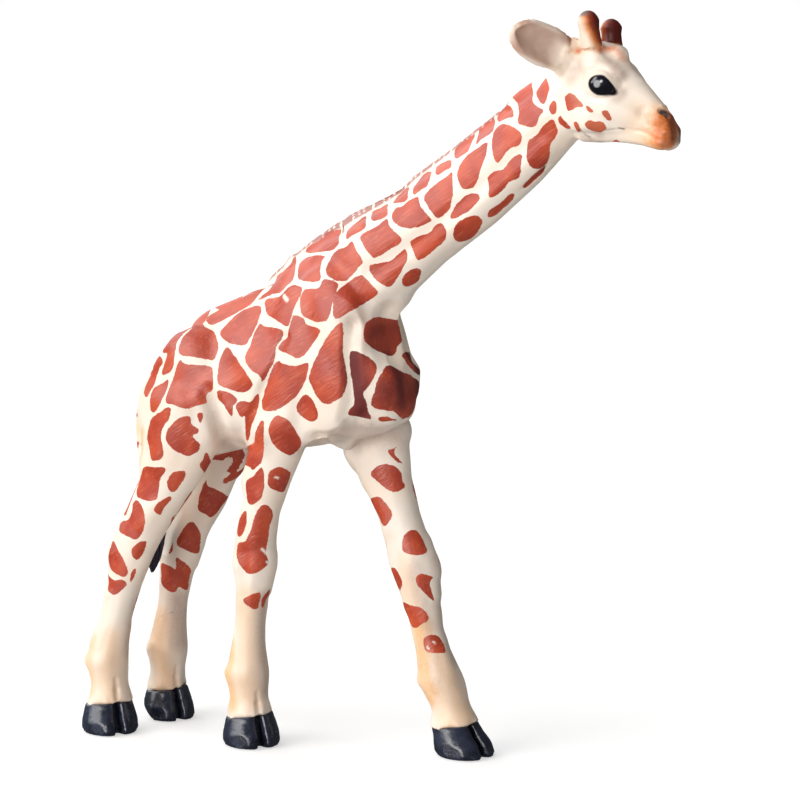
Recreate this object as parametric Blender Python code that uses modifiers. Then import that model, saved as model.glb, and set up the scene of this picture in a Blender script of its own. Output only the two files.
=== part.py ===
"""A solid toy giraffe in mid-step, as the separate castings that it is glued up from.

The animal faces +X, its left side is +Y, and its four hooves stand on Z = 0. While it is
modelled, X = 0 is the front of the breast. At the end an empty carries the whole animal
so that the origin lies under the middle of its box.

The skin is first modelled as one form: trunk, neck, head and legs are lofts and small
swellings that a remesh joins and a smoothing softens. It is then sawn at the seams into
castings, and each casting gets its keyed pegs and sockets.
"""

import math

import bmesh
import bpy
import numpy as np
from mathutils import Matrix, Vector

# Fits
GLUE_GAP = 0.0003
PEG_CLEARANCE = 0.0003
CUT_OVERRUN = 0.0010

# Trunk
TRUNK_LENGTH = 0.0736
TRUNK_WIDTH = 0.0272
WITHERS_HEIGHT = 0.1278
BELLY_HEIGHT = 0.0728

# Neck and mane
NECK_LENGTH = 0.0680
NECK_DEPTH = 0.0212
NECK_WIDTH = 0.0140
NECK_ROOT_SETBACK = 0.0125
NECK_ROOT_DROP = 0.0148
NECK_RISE = math.radians(40.1)
MANE_HEIGHT = 0.0022
MANE_THICKNESS = 0.0024

# Head
HEAD_LENGTH = 0.0340
HEAD_DEPTH = 0.0220
HEAD_WIDTH = 0.0152
HEAD_REACH = 0.0075
HEAD_PITCH = math.radians(18.0)
EYE_DIAMETER = 0.0060

# Ears and ossicones
EAR_LENGTH = 0.0154
EAR_WIDTH = 0.0088
EAR_CUP = 0.0020
EAR_WALL = 0.0013
EAR_SWEEP = math.radians(27.6)
EAR_LIFT = math.radians(21.0)
EAR_TURN = math.radians(20.0)
OSSICONE_DIAMETER = 0.0052
OSSICONE_RIGHT_LENGTH = 0.0083
OSSICONE_LEFT_LENGTH = 0.0066
OSSICONE_SPACING = 0.0086
OSSICONE_SPLAY = math.radians(6.0)

# Legs
SHOULDER_HEIGHT = 0.1048
SHOULDER_SETBACK = 0.0243
SHOULDER_SPREAD = 0.0165
HIP_HEIGHT = 0.0938
HIP_SETBACK = 0.0605
HIP_SPREAD = 0.0150
FORE_BONE_DEPTH = 0.0078
FORE_BONE_WIDTH = 0.0070
HIND_BONE_DEPTH = 0.0079
HIND_BONE_WIDTH = 0.0070
RIGHT_FORE_STRIDE = -0.0161
LEFT_FORE_STRIDE = 0.0343
RIGHT_HIND_STRIDE = -0.0179
LEFT_HIND_STRIDE = -0.0129
RIGHT_FORE_TRACK = 0.0064
LEFT_FORE_TRACK = 0.0084
RIGHT_HIND_TRACK = 0.0120
LEFT_HIND_TRACK = 0.0071
LEFT_FORE_GIRTH = 1.07

# Seams
LEG_SEAM_DROP = 0.0070
SHIN_SEAM_HEIGHT = 0.0270
NECK_SEAM_LEAN = math.radians(36.0)
THROAT_SEAM_LEAN = math.radians(27.0)

# Hooves
HOOF_HEIGHT = 0.0074
HOOF_LENGTH = 0.0142
HOOF_WIDTH = 0.0130
HOOF_CLEFT = 0.0030
HOOF_SEAM_TILT = math.radians(7.0)
RIGHT_TOE_TURN = math.radians(-35.0)
LEFT_FORE_TOE_TURN = math.radians(-15.0)
LEFT_HIND_TOE_TURN = math.radians(-30.0)

# Tail
TAIL_DIAMETER = 0.0034
TAIL_ROOT_HEIGHT = 0.0850
TUFT_DIAMETER = 0.0050
TUFT_LENGTH = 0.0150

# Pegs
NECK_PEG_DIAMETER = 0.0080
NECK_PEG_LENGTH = 0.0080
THROAT_PEG_DIAMETER = 0.0064
THROAT_PEG_LENGTH = 0.0070
LEG_PEG_DIAMETER = 0.0052
LEG_PEG_LENGTH = 0.0060
SHIN_PEG_DIAMETER = 0.0038
SHIN_PEG_LENGTH = 0.0050
HOOF_PEG_DIAMETER = 0.0046
HOOF_PEG_LENGTH = 0.0040
EAR_PEG_DIAMETER = 0.0021
EAR_PEG_LENGTH = 0.0026
OSSICONE_PEG_DIAMETER = 0.0023
OSSICONE_PEG_LENGTH = 0.0030
EYE_PEG_DIAMETER = 0.0020
EYE_PEG_LENGTH = 0.0014
TAIL_PEG_DIAMETER = 0.0022
TAIL_PEG_LENGTH = 0.0030
TUFT_PEG_DIAMETER = 0.0014
TUFT_PEG_LENGTH = 0.0024

# Surface
VOXEL = 0.0007
SMOOTH_PASSES = 10
RING_POINTS = 20

# Along the trunk from rump to breast, back line and belly line over the belly, and width
trunk_shares = (
    (0.000, 0.255, 0.110, 0.30),
    (0.018, 0.285, 0.040, 0.56),
    (0.050, 0.345, -0.040, 0.76),
    (0.100, 0.430, -0.075, 0.90),
    (0.171, 0.525, -0.080, 0.98),
    (0.266, 0.600, -0.060, 1.00),
    (0.374, 0.660, -0.020, 1.00),
    (0.495, 0.736, 0.000, 1.02),
    (0.617, 0.855, 0.010, 1.00),
    (0.724, 0.950, 0.036, 0.97),
    (0.832, 0.950, 0.073, 0.93),
    (0.910, 0.800, 0.105, 0.82),
    (0.965, 0.580, 0.150, 0.64),
    (1.000, 0.410, 0.220, 0.38),
)

# Muscles of the trunk: along, up and out, then length, width and height
muscle_shares = (
    (0.752, 0.640, 0.290, 0.120, 0.110, 0.200),
    (0.800, 0.500, 0.360, 0.125, 0.110, 0.260),
    (0.772, 0.353, 0.370, 0.130, 0.110, 0.240),
    (0.700, 0.200, 0.325, 0.110, 0.110, 0.160),
    (0.945, 0.375, 0.200, 0.052, 0.110, 0.150),
    (0.255, 0.275, 0.370, 0.145, 0.110, 0.240),
    (0.275, 0.400, 0.300, 0.130, 0.110, 0.140),
)

# Along the neck, lift off its axis, depth, width, and how far the section leans back
neck_shares = (
    (-0.20, -0.04, 1.66, 1.40, 0.30),
    (0.00, 0.08, 1.32, 1.26, 0.16),
    (0.14, 0.13, 1.12, 1.12, 0.06),
    (0.32, 0.06, 0.94, 1.02, -0.06),
    (0.56, -0.01, 0.90, 0.96, -0.06),
    (0.79, -0.03, 0.84, 0.93, -0.10),
    (1.00, 0.01, 0.76, 0.96, -0.16),
    (1.12, 0.04, 0.76, 1.00, -0.20),
)

# Along the head from the nape to the nose, brow line, jaw line and width
head_shares = (
    (-0.330, 0.38, -0.14, 0.62),
    (-0.210, 0.58, -0.34, 0.88),
    (-0.060, 0.71, -0.36, 0.98),
    (0.050, 0.71, -0.31, 1.00),
    (0.150, 0.60, -0.25, 0.98),
    (0.240, 0.50, -0.19, 0.84),
    (0.340, 0.430, -0.160, 0.66),
    (0.440, 0.335, -0.145, 0.57),
    (0.550, 0.240, -0.145, 0.57),
    (0.615, 0.130, -0.130, 0.50),
    (0.650, 0.030, -0.095, 0.30),
)

# Swellings of the head: along, up and out from its middle, then length, depth and width
face_shares = (
    (0.075, 0.45, 0.29, 0.12, 0.08, 0.11),
    (-0.040, -0.02, 0.29, 0.20, 0.24, 0.18),
    (0.545, 0.06, 0.19, 0.08, 0.095, 0.11),
    (0.045, 0.64, 0.00, 0.08, 0.07, 0.18),
    (-0.215, 0.40, 0.28, 0.10, 0.15, 0.19),
    (-0.045, 0.48, 0.26, 0.10, 0.18, 0.20),
)

# Height on the leg, then depth and width of the leg there in cannon bones
fore_girth_shares = (
    (0.045, 1.56, 1.50),
    (0.072, 1.50, 1.46),
    (0.112, 1.17, 1.20),
    (0.168, 1.42, 1.42),
    (0.225, 1.18, 1.12),
    (0.290, 1.00, 1.00),
    (0.360, 1.14, 1.12),
    (0.430, 1.44, 1.32),
    (0.490, 1.32, 1.20),
    (0.550, 1.24, 1.18),
    (0.640, 1.58, 1.36),
    (0.720, 2.10, 1.46),
    (0.820, 2.60, 1.56),
    (0.920, 2.75, 1.56),
    (1.010, 2.30, 1.10),
    (1.090, 1.30, 0.50),
)
hind_girth_shares = (
    (0.050, 1.50, 1.50),
    (0.080, 1.45, 1.46),
    (0.125, 1.16, 1.18),
    (0.188, 1.40, 1.38),
    (0.250, 1.16, 1.10),
    (0.320, 1.00, 1.00),
    (0.390, 1.16, 1.08),
    (0.470, 1.52, 1.24),
    (0.520, 1.62, 1.26),
    (0.590, 1.66, 1.32),
    (0.680, 1.95, 1.50),
    (0.800, 2.90, 1.80),
    (0.900, 3.10, 1.95),
    (0.985, 2.50, 1.10),
    (1.040, 1.40, 0.30),
)

# Height on the leg and how much of its stride it has made there
left_fore_path_shares = (
    (0.000, 1.015), (0.085, 0.945), (0.150, 0.860), (0.226, 0.790), (0.302, 0.710),
    (0.360, 0.685), (0.430, 0.628), (0.540, 0.520), (0.632, 0.405), (0.717, 0.320),
    (0.850, 0.190), (1.000, 0.030), (1.110, 0.000),
)
right_fore_path_shares = (
    (0.000, 1.020), (0.085, 1.010), (0.155, 1.045), (0.226, 1.035), (0.292, 0.990),
    (0.368, 0.935), (0.434, 0.885), (0.510, 0.840), (0.575, 0.730), (0.642, 0.610),
    (0.700, 0.520), (0.850, 0.240), (1.000, 0.000), (1.110, 0.000),
)
right_hind_path_shares = (
    (0.000, 1.010), (0.050, 1.010), (0.110, 1.010), (0.165, 1.080), (0.205, 1.080),
    (0.250, 1.010), (0.316, 0.890), (0.386, 0.800), (0.466, 0.705), (0.521, 0.575),
    (0.590, 0.350), (0.684, 0.050), (0.800, -0.120), (1.000, -0.200), (1.100, -0.200),
)
left_hind_path_shares = (
    (0.000, 1.000), (0.070, 1.000), (0.130, 1.000), (0.168, 1.000), (0.210, 0.990),
    (0.266, 0.920), (0.347, 0.830), (0.432, 0.720), (0.515, 0.540), (0.587, 0.200),
    (0.674, -0.020), (0.800, -0.160), (1.000, -0.260), (1.100, -0.260),
)

# Along the ear from root to tip, and its width there
ear_shares = (
    (0.00, 0.48), (0.05, 0.74), (0.13, 0.93), (0.30, 1.00), (0.54, 0.98), (0.73, 0.90),
    (0.87, 0.68), (0.96, 0.38), (1.00, 0.12),
)

# Up the ossicone, and its radius there
ossicone_shares = (
    (0.00, 1.00), (0.18, 0.93), (0.45, 0.88), (0.66, 0.94), (0.80, 0.98), (0.90, 0.86),
    (0.96, 0.62), (0.99, 0.34),
)

# Up the hoof, then its length, width and how far its toe runs forward
hoof_shares = (
    (0.00, 0.93, 0.92, 0.035),
    (0.09, 1.00, 1.00, 0.035),
    (0.35, 0.98, 0.99, 0.018),
    (0.70, 0.90, 0.94, -0.015),
    (1.30, 0.76, 0.86, -0.055),
)

# From the tail's root in tail diameters: back, sideways and down, and its thickness there
tail_shares = (
    (0.00, 0.00, 0.00, 1.10),
    (0.45, 0.00, 0.12, 1.10),
    (0.86, -0.03, 0.80, 1.06),
    (1.02, -0.08, 2.00, 1.00),
    (1.02, -0.16, 3.60, 0.94),
    (0.82, -0.24, 5.30, 0.88),
    (0.25, -0.29, 6.80, 0.82),
    (-0.45, -0.30, 8.10, 0.78),
    (-0.32, -0.30, 9.20, 0.76),
)

# Down the tuft, and its thickness there
tuft_shares = (
    (0.00, 0.42), (0.10, 0.72), (0.28, 1.00), (0.50, 0.96), (0.72, 0.72), (0.88, 0.42), (1.00, 0.10),
)

# Places of the seats, along, up and out from the middle of the head
ear_seat_shares = (-0.230, 0.47, 0.40)
ossicone_right_seat_shares = (-0.080, 0.615)
ossicone_left_seat_shares = (-0.045, 0.620)
eye_seat_shares = (0.085, 0.31, 0.385)

# Along the neck, where the mane runs out, and over how much of the neck it sinks
mane_end_share = 1.05
mane_fade_share = 0.26

# How far up the neck its lower seam crosses, and how deep the tail's seat lies in the rump
neck_seam_share = 0.07
tail_seat_share = 0.975

# Triangles that each casting is brought down to
TORSO_TRIANGLES = 2000
NECK_TRIANGLES = 900
HEAD_TRIANGLES = 1500
UPPER_LEG_TRIANGLES = 380
LOWER_LEG_TRIANGLES = 280

COLOURS = {
    "skin": (0.86, 0.74, 0.56, 1.0),
    "hoof": (0.03, 0.04, 0.06, 1.0),
    "eye": (0.01, 0.01, 0.03, 1.0),
    "horn": (0.35, 0.13, 0.07, 1.0),
    "tuft": (0.03, 0.03, 0.04, 1.0),
}
ROUGHNESS = {"skin": 0.55, "hoof": 0.28, "eye": 0.1, "horn": 0.5, "tuft": 0.45}


def clear_scene():
    for old in list(bpy.data.objects):
        bpy.data.objects.remove(old)


def new_collection(name, hidden=False):
    made = bpy.data.collections.new(name)
    made.hide_render = hidden
    bpy.context.scene.collection.children.link(made)
    return made


def material(name):
    made = bpy.data.materials.get(name) or bpy.data.materials.new(name)
    made.use_nodes = True
    shader = made.node_tree.nodes["Principled BSDF"]
    shader.inputs["Base Color"].default_value = COLOURS[name]
    shader.inputs["Roughness"].default_value = ROUGHNESS[name]
    shader.inputs["Metallic"].default_value = 0.0
    return made


def add_object(name, mesh, collection, finish=None):
    thing = bpy.data.objects.new(name, mesh)
    collection.objects.link(thing)
    if finish:
        mesh.materials.clear()
        mesh.materials.append(material(finish))
    else:
        thing.hide_render = True
        thing.display_type = "WIRE"
    return thing


def mesh_from(bm, name):
    bmesh.ops.recalc_face_normals(bm, faces=bm.faces[:])
    mesh = bpy.data.meshes.new(name)
    bm.to_mesh(mesh)
    bm.free()
    return mesh


def loft(bm, rings):
    """A closed tube through rings of points, with its two ends filled."""
    loops = [[bm.verts.new(point) for point in ring] for ring in rings]
    for low, high in zip(loops, loops[1:]):
        for i in range(len(low)):
            j = (i + 1) % len(low)
            bm.faces.new((low[i], low[j], high[j], high[i]))
    bm.faces.new(loops[0])
    bm.faces.new(loops[-1])


def oval(centre, across, upward, half_width, rise, fall, pinch=0.0):
    """A ring about a centre: it rises above and falls below it, and pinch narrows its upper half."""
    ring = []
    for i in range(RING_POINTS):
        angle = 2 * math.pi * i / RING_POINTS
        lift = math.sin(angle)
        width = half_width * (1 - pinch * max(lift, 0))
        height = rise * lift if lift > 0 else fall * lift
        ring.append(centre + across * (width * math.cos(angle)) + upward * height)
    return ring


def swelling(bm, centre, axes, radii):
    """An ellipsoid with these axes and radii."""
    made = bmesh.ops.create_icosphere(bm, subdivisions=3, radius=1.0)
    for vertex in made["verts"]:
        local = vertex.co.copy()
        vertex.co = centre + sum((axis * (radius * part) for axis, radius, part in zip(axes, radii, local)), Vector())


def eased(shares, at):
    """A value read off a table at a place, along a curve with no corners."""
    places = [row[0] for row in shares]
    values = [row[1] for row in shares]
    slopes = np.gradient(values, places)
    i = min(max(int(np.searchsorted(places, at)) - 1, 0), len(places) - 2)
    span = places[i + 1] - places[i]
    t = min(max((at - places[i]) / span, 0.0), 1.0)
    start = (2 * t**3 - 3 * t**2 + 1) * values[i] + (t**3 - 2 * t**2 + t) * span * slopes[i]
    end = (3 * t**2 - 2 * t**3) * values[i + 1] + (t**3 - t**2) * span * slopes[i + 1]
    return start + end


# Unit axes, and the places that the sizes above settle
X_AXIS = Vector((1, 0, 0))
Y_AXIS = Vector((0, 1, 0))
Z_AXIS = Vector((0, 0, 1))
TRUNK_DEPTH = WITHERS_HEIGHT - BELLY_HEIGHT
NECK_ROOT = Vector((-NECK_ROOT_SETBACK, 0, WITHERS_HEIGHT - NECK_ROOT_DROP))
NECK_AXIS = Vector((math.cos(NECK_RISE), 0, math.sin(NECK_RISE)))
NECK_UP = Vector((-math.sin(NECK_RISE), 0, math.cos(NECK_RISE)))
NECK_TOP = NECK_ROOT + NECK_AXIS * NECK_LENGTH
HEAD_MIDDLE = NECK_TOP + X_AXIS * HEAD_REACH
HEAD_AXIS = Vector((math.cos(HEAD_PITCH), 0, -math.sin(HEAD_PITCH)))
HEAD_UP = Vector((math.sin(HEAD_PITCH), 0, math.cos(HEAD_PITCH)))
LEG_SEAM_HEIGHT = BELLY_HEIGHT - LEG_SEAM_DROP
NECK_SEAM = NECK_ROOT + NECK_AXIS * (NECK_LENGTH * neck_seam_share)
NECK_SEAM_FACING = Vector((math.cos(NECK_SEAM_LEAN), 0, math.sin(NECK_SEAM_LEAN)))
THROAT_SEAM_FACING = Vector((math.cos(THROAT_SEAM_LEAN), 0, math.sin(THROAT_SEAM_LEAN)))


def trunk_form(bm):
    rings = []
    for along, back, belly, width in trunk_shares:
        top = BELLY_HEIGHT + TRUNK_DEPTH * back
        bottom = BELLY_HEIGHT + TRUNK_DEPTH * belly
        middle = bottom + (top - bottom) * 0.45
        centre = Vector((-TRUNK_LENGTH * (1 - along), 0, middle))
        half_width = TRUNK_WIDTH * width / 2
        rings.append(oval(centre, Y_AXIS, Z_AXIS, half_width, top - middle, middle - bottom, 0.22))
    loft(bm, rings)
    for along, up, out, length, width, height in muscle_shares:
        radii = (TRUNK_LENGTH * length, TRUNK_WIDTH * width, TRUNK_DEPTH * height)
        for side in (-1, 1):
            centre = Vector((-TRUNK_LENGTH * (1 - along), TRUNK_WIDTH * out * side, BELLY_HEIGHT + TRUNK_DEPTH * up))
            swelling(bm, centre, (X_AXIS, Y_AXIS, Z_AXIS), radii)


def neck_ring(along, lift, depth, width, lean):
    centre = NECK_ROOT + NECK_AXIS * (NECK_LENGTH * along) + NECK_UP * (NECK_DEPTH * lift)
    upward = Matrix.Rotation(-lean, 3, "Y") @ NECK_UP
    half_depth = NECK_DEPTH * depth / 2
    return oval(centre, Y_AXIS, upward, NECK_WIDTH * width / 2, half_depth, half_depth, 0.12)


def neck_form(bm):
    loft(bm, [neck_ring(*row) for row in neck_shares])


def mane_form(bm):
    rings = []
    half = MANE_THICKNESS / 2
    for along, lift, depth, _, lean in neck_shares[:-1]:
        upward = Matrix.Rotation(-lean, 3, "Y") @ NECK_UP
        forward = Matrix.Rotation(-lean, 3, "Y") @ NECK_AXIS
        crest = NECK_ROOT + NECK_AXIS * (NECK_LENGTH * along) + NECK_UP * (NECK_DEPTH * lift)
        crest += upward * (NECK_DEPTH * depth / 2)
        rise = MANE_HEIGHT * min(1.0, (mane_end_share - along) / mane_fade_share)
        rings.append(oval(crest, Y_AXIS, upward, half, rise, MANE_HEIGHT * 2))
    loft(bm, rings)


def head_point(along, up, out):
    forward = HEAD_AXIS * (HEAD_LENGTH * along)
    return HEAD_MIDDLE + forward + HEAD_UP * (HEAD_DEPTH * up) + Y_AXIS * (HEAD_WIDTH * out)


def head_form(bm):
    rings = []
    for along, brow, jaw, width in head_shares:
        middle = jaw + (brow - jaw) * 0.48
        centre = head_point(along, middle, 0)
        rise = HEAD_DEPTH * (brow - middle)
        fall = HEAD_DEPTH * (middle - jaw)
        rings.append(oval(centre, Y_AXIS, HEAD_UP, HEAD_WIDTH * width / 2, rise, fall, 0.25))
    loft(bm, rings)
    for along, up, out, length, depth, width in face_shares:
        radii = (HEAD_LENGTH * length, HEAD_WIDTH * width, HEAD_DEPTH * depth)
        for side in (-1, 1):
            swelling(bm, head_point(along, up, out * side), (HEAD_AXIS, Y_AXIS, HEAD_UP), radii)


class Leg:
    """One leg: its path down from the hip or shoulder, and how thick it is on the way."""

    def __init__(self, name, front, side, stride, track, toe_turn, path, girth=1.0):
        self.name = name
        self.side = side
        self.toe = Vector((math.cos(toe_turn), math.sin(toe_turn), 0))
        self.path = path
        self.stride = stride
        self.track = track
        self.height = SHOULDER_HEIGHT if front else HIP_HEIGHT
        self.setback = SHOULDER_SETBACK if front else HIP_SETBACK
        self.spread = (SHOULDER_SPREAD if front else HIP_SPREAD) / 2
        self.girths = fore_girth_shares if front else hind_girth_shares
        self.depth = (FORE_BONE_DEPTH if front else HIND_BONE_DEPTH) * girth
        self.width = (FORE_BONE_WIDTH if front else HIND_BONE_WIDTH) * girth

    def centre(self, level):
        x = -self.setback + self.stride * eased(self.path, level)
        outward = self.track + (self.spread - self.track) * min(level, 1.0)
        return Vector((x, self.side * outward, level * self.height))

    def at_height(self, height):
        return self.centre(height / self.height)

    def form(self, bm):
        rings = []
        for level, depth, width in self.girths:
            half_depth = self.depth * depth / 2
            half_width = self.width * width / 2
            rings.append(oval(self.centre(level), X_AXIS, Y_AXIS, half_depth, half_width, half_width))
        loft(bm, rings)


LEGS = (
    Leg("fore_right", True, -1, RIGHT_FORE_STRIDE, RIGHT_FORE_TRACK, RIGHT_TOE_TURN, right_fore_path_shares),
    Leg("fore_left", True, 1, LEFT_FORE_STRIDE, LEFT_FORE_TRACK, LEFT_FORE_TOE_TURN, left_fore_path_shares,
        LEFT_FORE_GIRTH),
    Leg("hind_right", False, -1, RIGHT_HIND_STRIDE, RIGHT_HIND_TRACK, RIGHT_TOE_TURN, right_hind_path_shares),
    Leg("hind_left", False, 1, LEFT_HIND_STRIDE, LEFT_HIND_TRACK, LEFT_HIND_TOE_TURN, left_hind_path_shares),
)


def evaluated_mesh(thing):
    graph = bpy.context.evaluated_depsgraph_get()
    return bpy.data.meshes.new_from_object(thing.evaluated_get(graph))


def skin_form(scrap):
    """The whole skin as one smooth closed surface, before it is sawn."""
    bm = bmesh.new()
    trunk_form(bm)
    neck_form(bm)
    mane_form(bm)
    head_form(bm)
    for leg in LEGS:
        leg.form(bm)
    form = add_object("skin_form", mesh_from(bm, "skin_form"), scrap)
    remesh = form.modifiers.new("join", "REMESH")
    remesh.mode = "VOXEL"
    remesh.voxel_size = VOXEL
    smooth = form.modifiers.new("soften", "SMOOTH")
    smooth.factor = 0.5
    smooth.iterations = SMOOTH_PASSES
    return evaluated_mesh(form)


def saw(bm, point, normal):
    """Takes away what lies beyond a plane, and closes the cut flat."""
    everything = bm.verts[:] + bm.edges[:] + bm.faces[:]
    cut = bmesh.ops.bisect_plane(bm, geom=everything, plane_co=point, plane_no=normal, clear_outer=True)
    rim = [edge for edge in cut["geom_cut"] if isinstance(edge, bmesh.types.BMEdge)]
    if rim:
        bmesh.ops.holes_fill(bm, edges=rim, sides=0)


def keep_island(bm, place):
    """Keeps the closed surface whose middle lies nearest a place."""
    left = set(bm.verts)
    islands = []
    while left:
        found = {left.pop()}
        edge_of_search = list(found)
        while edge_of_search:
            vertex = edge_of_search.pop()
            for edge in vertex.link_edges:
                other = edge.other_vert(vertex)
                if other in left:
                    left.remove(other)
                    found.add(other)
                    edge_of_search.append(other)
        middle = sum((vertex.co for vertex in found), Vector()) / len(found)
        islands.append(((middle - place).length, found))
    islands.sort(key=lambda island: island[0])
    for _, found in islands[1:]:
        bmesh.ops.delete(bm, geom=list(found), context="VERTS")


def casting(name, skin, cuts, place, triangles, parts, scrap):
    """One piece of the skin: sawn at each plane half a glue gap back, with few enough faces."""
    bm = bmesh.new()
    bm.from_mesh(skin)
    for point, normal in cuts:
        saw(bm, point - normal * (GLUE_GAP / 2), normal)
    keep_island(bm, place)
    bmesh.ops.triangulate(bm, faces=bm.faces[:])
    raw = add_object(name + "_raw", mesh_from(bm, name), scrap)
    decimate = raw.modifiers.new("fewer", "DECIMATE")
    decimate.ratio = min(1.0, triangles / len(raw.data.polygons))
    mesh = evaluated_mesh(raw)
    mesh.name = name
    mesh.shade_smooth()
    mesh.set_sharp_from_angle(angle=math.radians(50))
    return add_object(name, mesh, parts, "skin")


def peg_mesh(name, point, direction, diameter, length, grown):
    """A tapered peg with one flat side as its key, from inside one piece into the other."""
    bm = bmesh.new()
    radius = diameter / 2 + grown
    depth = length + grown + CUT_OVERRUN
    made = bmesh.ops.create_cone(
        bm, cap_ends=True, segments=10, radius1=radius, radius2=radius * 0.86, depth=depth
    )
    for vertex in made["verts"]:
        vertex.co.x = min(vertex.co.x, radius * 0.62)
    place = point + direction * (depth / 2 - CUT_OVERRUN)
    turn = Z_AXIS.rotation_difference(direction).to_matrix().to_4x4()
    bmesh.ops.transform(bm, matrix=Matrix.Translation(place) @ turn, verts=bm.verts)
    return mesh_from(bm, name)


def boolean(thing, tool, operation):
    modifier = thing.modifiers.new(tool.name, "BOOLEAN")
    modifier.operation = operation
    modifier.solver = "EXACT"
    modifier.object = tool


def peg_and_socket(male, female, point, direction, diameter, length, scrap):
    """A peg on one piece, from its seam along a direction, and its socket in the other."""
    name = male.name + "_peg"
    peg = add_object(name, peg_mesh(name, point, direction, diameter, length, 0), scrap)
    boolean(male, peg, "UNION")
    name = male.name + "_socket"
    socket = add_object(name, peg_mesh(name, point, direction, diameter, length, PEG_CLEARANCE), scrap)
    boolean(female, socket, "DIFFERENCE")


def turned(name, profile, base, direction, finish, parts):
    """A piece turned about its axis: a profile of radius and height, from base to tip."""
    bm = bmesh.new()
    points = [(0.0, profile[0][1])] + list(profile) + [(0.0, profile[-1][1])]
    loop = [bm.verts.new((radius, 0, height)) for radius, height in reversed(points)]
    for one, two in zip(loop, loop[1:]):
        bm.edges.new((one, two))
    steps = 14
    bmesh.ops.spin(
        bm, geom=bm.verts[:] + bm.edges[:], cent=(0, 0, 0), axis=(0, 0, 1), angle=2 * math.pi, steps=steps
    )
    bmesh.ops.remove_doubles(bm, verts=bm.verts, dist=GLUE_GAP / 30)
    turn = Z_AXIS.rotation_difference(direction).to_matrix().to_4x4()
    bmesh.ops.transform(bm, matrix=Matrix.Translation(base) @ turn, verts=bm.verts)
    mesh = mesh_from(bm, name)
    mesh.shade_smooth()
    return add_object(name, mesh, parts, finish)


def seat_cutter(name, point, direction, diameter, length, scrap):
    """A round cutter that leaves a flat seat at a point, square to a direction."""
    bm = bmesh.new()
    radius = diameter / 2 + PEG_CLEARANCE
    bmesh.ops.create_cone(bm, cap_ends=True, segments=16, radius1=radius, radius2=radius, depth=length)
    turn = Z_AXIS.rotation_difference(direction).to_matrix().to_4x4()
    place = Matrix.Translation(point + direction * (length / 2))
    bmesh.ops.transform(bm, matrix=place @ turn, verts=bm.verts)
    return add_object(name, mesh_from(bm, name), scrap)


def eye(name, side, head, parts, scrap):
    """A glossy bead that shows through a round socket in the head."""
    along, up, out = eye_seat_shares
    centre = head_point(along, up, out * side)
    facing = (Y_AXIS * side + HEAD_AXIS * 0.3 + HEAD_UP * 0.1).normalized()
    turn = Z_AXIS.rotation_difference(facing).to_matrix().to_4x4()
    radius = EYE_DIAMETER / 2
    meshes = []
    for grown in (0.0, PEG_CLEARANCE):
        bm = bmesh.new()
        bmesh.ops.create_uvsphere(bm, u_segments=14, v_segments=8, radius=radius + grown)
        bmesh.ops.transform(bm, matrix=Matrix.Translation(centre) @ turn, verts=bm.verts)
        meshes.append(mesh_from(bm, name))
    bead = add_object(name, meshes[0], parts, "eye")
    bead.data.shade_smooth()
    socket = add_object(name + "_bed", meshes[1], scrap)
    boolean(head, socket, "DIFFERENCE")
    back = centre - facing * (radius + PEG_CLEARANCE)
    peg_and_socket(bead, head, back, -facing, EYE_PEG_DIAMETER, EYE_PEG_LENGTH, scrap)
    return bead


def ossicone(name, side, length, seat_shares, head, parts, scrap):
    """A blunt horn on a flat seat on the skull."""
    along, up = seat_shares
    seat = head_point(along, up, 0) + Y_AXIS * (side * OSSICONE_SPACING / 2)
    upward = Vector((-math.sin(OSSICONE_SPLAY), side * math.sin(OSSICONE_SPLAY), 1)).normalized()
    cutter = seat_cutter(name + "_seat", seat, upward, OSSICONE_DIAMETER, length, scrap)
    boolean(head, cutter, "DIFFERENCE")
    profile = [(OSSICONE_DIAMETER / 2 * radius, length * rise) for rise, radius in ossicone_shares]
    horn = turned(name, profile, seat + upward * GLUE_GAP, upward, "horn", parts)
    peg_and_socket(horn, head, seat, -upward, OSSICONE_PEG_DIAMETER, OSSICONE_PEG_LENGTH, scrap)
    return horn


def ear(name, side, head, parts, scrap):
    """A cupped leaf with a wall, on a flat seat behind the ossicone."""
    seat = head_point(*ear_seat_shares[:2], ear_seat_shares[2] * side)
    level = math.cos(EAR_LIFT)
    outward = Vector((-level * math.sin(EAR_SWEEP), side * level * math.cos(EAR_SWEEP), math.sin(EAR_LIFT)))
    opening = (X_AXIS - outward * X_AXIS.dot(outward)).normalized()
    opening = Matrix.Rotation(side * EAR_TURN, 3, outward) @ opening
    across = outward.cross(opening)
    cutter = seat_cutter(name + "_seat", seat, outward, EAR_WIDTH / 2, EAR_LENGTH, scrap)
    boolean(head, cutter, "DIFFERENCE")
    bm = bmesh.new()
    columns = 8
    rows = []
    for rise, width in ear_shares:
        row = []
        for i in range(columns + 1):
            v = 2 * i / columns - 1
            cup = EAR_CUP * width * (v * v - 0.5)
            point = seat + outward * (GLUE_GAP + EAR_LENGTH * rise) + opening * cup
            row.append(bm.verts.new(point + across * (EAR_WIDTH / 2 * width * v)))
        rows.append(row)
    for low, high in zip(rows, rows[1:]):
        for i in range(columns):
            bm.faces.new((low[i], low[i + 1], high[i + 1], high[i]))
    leaf = add_object(name, mesh_from(bm, name), parts, "skin")
    wall = leaf.modifiers.new("wall", "SOLIDIFY")
    wall.thickness = EAR_WALL
    wall.offset = 0.0
    wall.use_even_offset = True
    leaf.data.shade_smooth()
    peg_and_socket(leaf, head, seat, -outward, EAR_PEG_DIAMETER, EAR_PEG_LENGTH, scrap)
    return leaf


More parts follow.
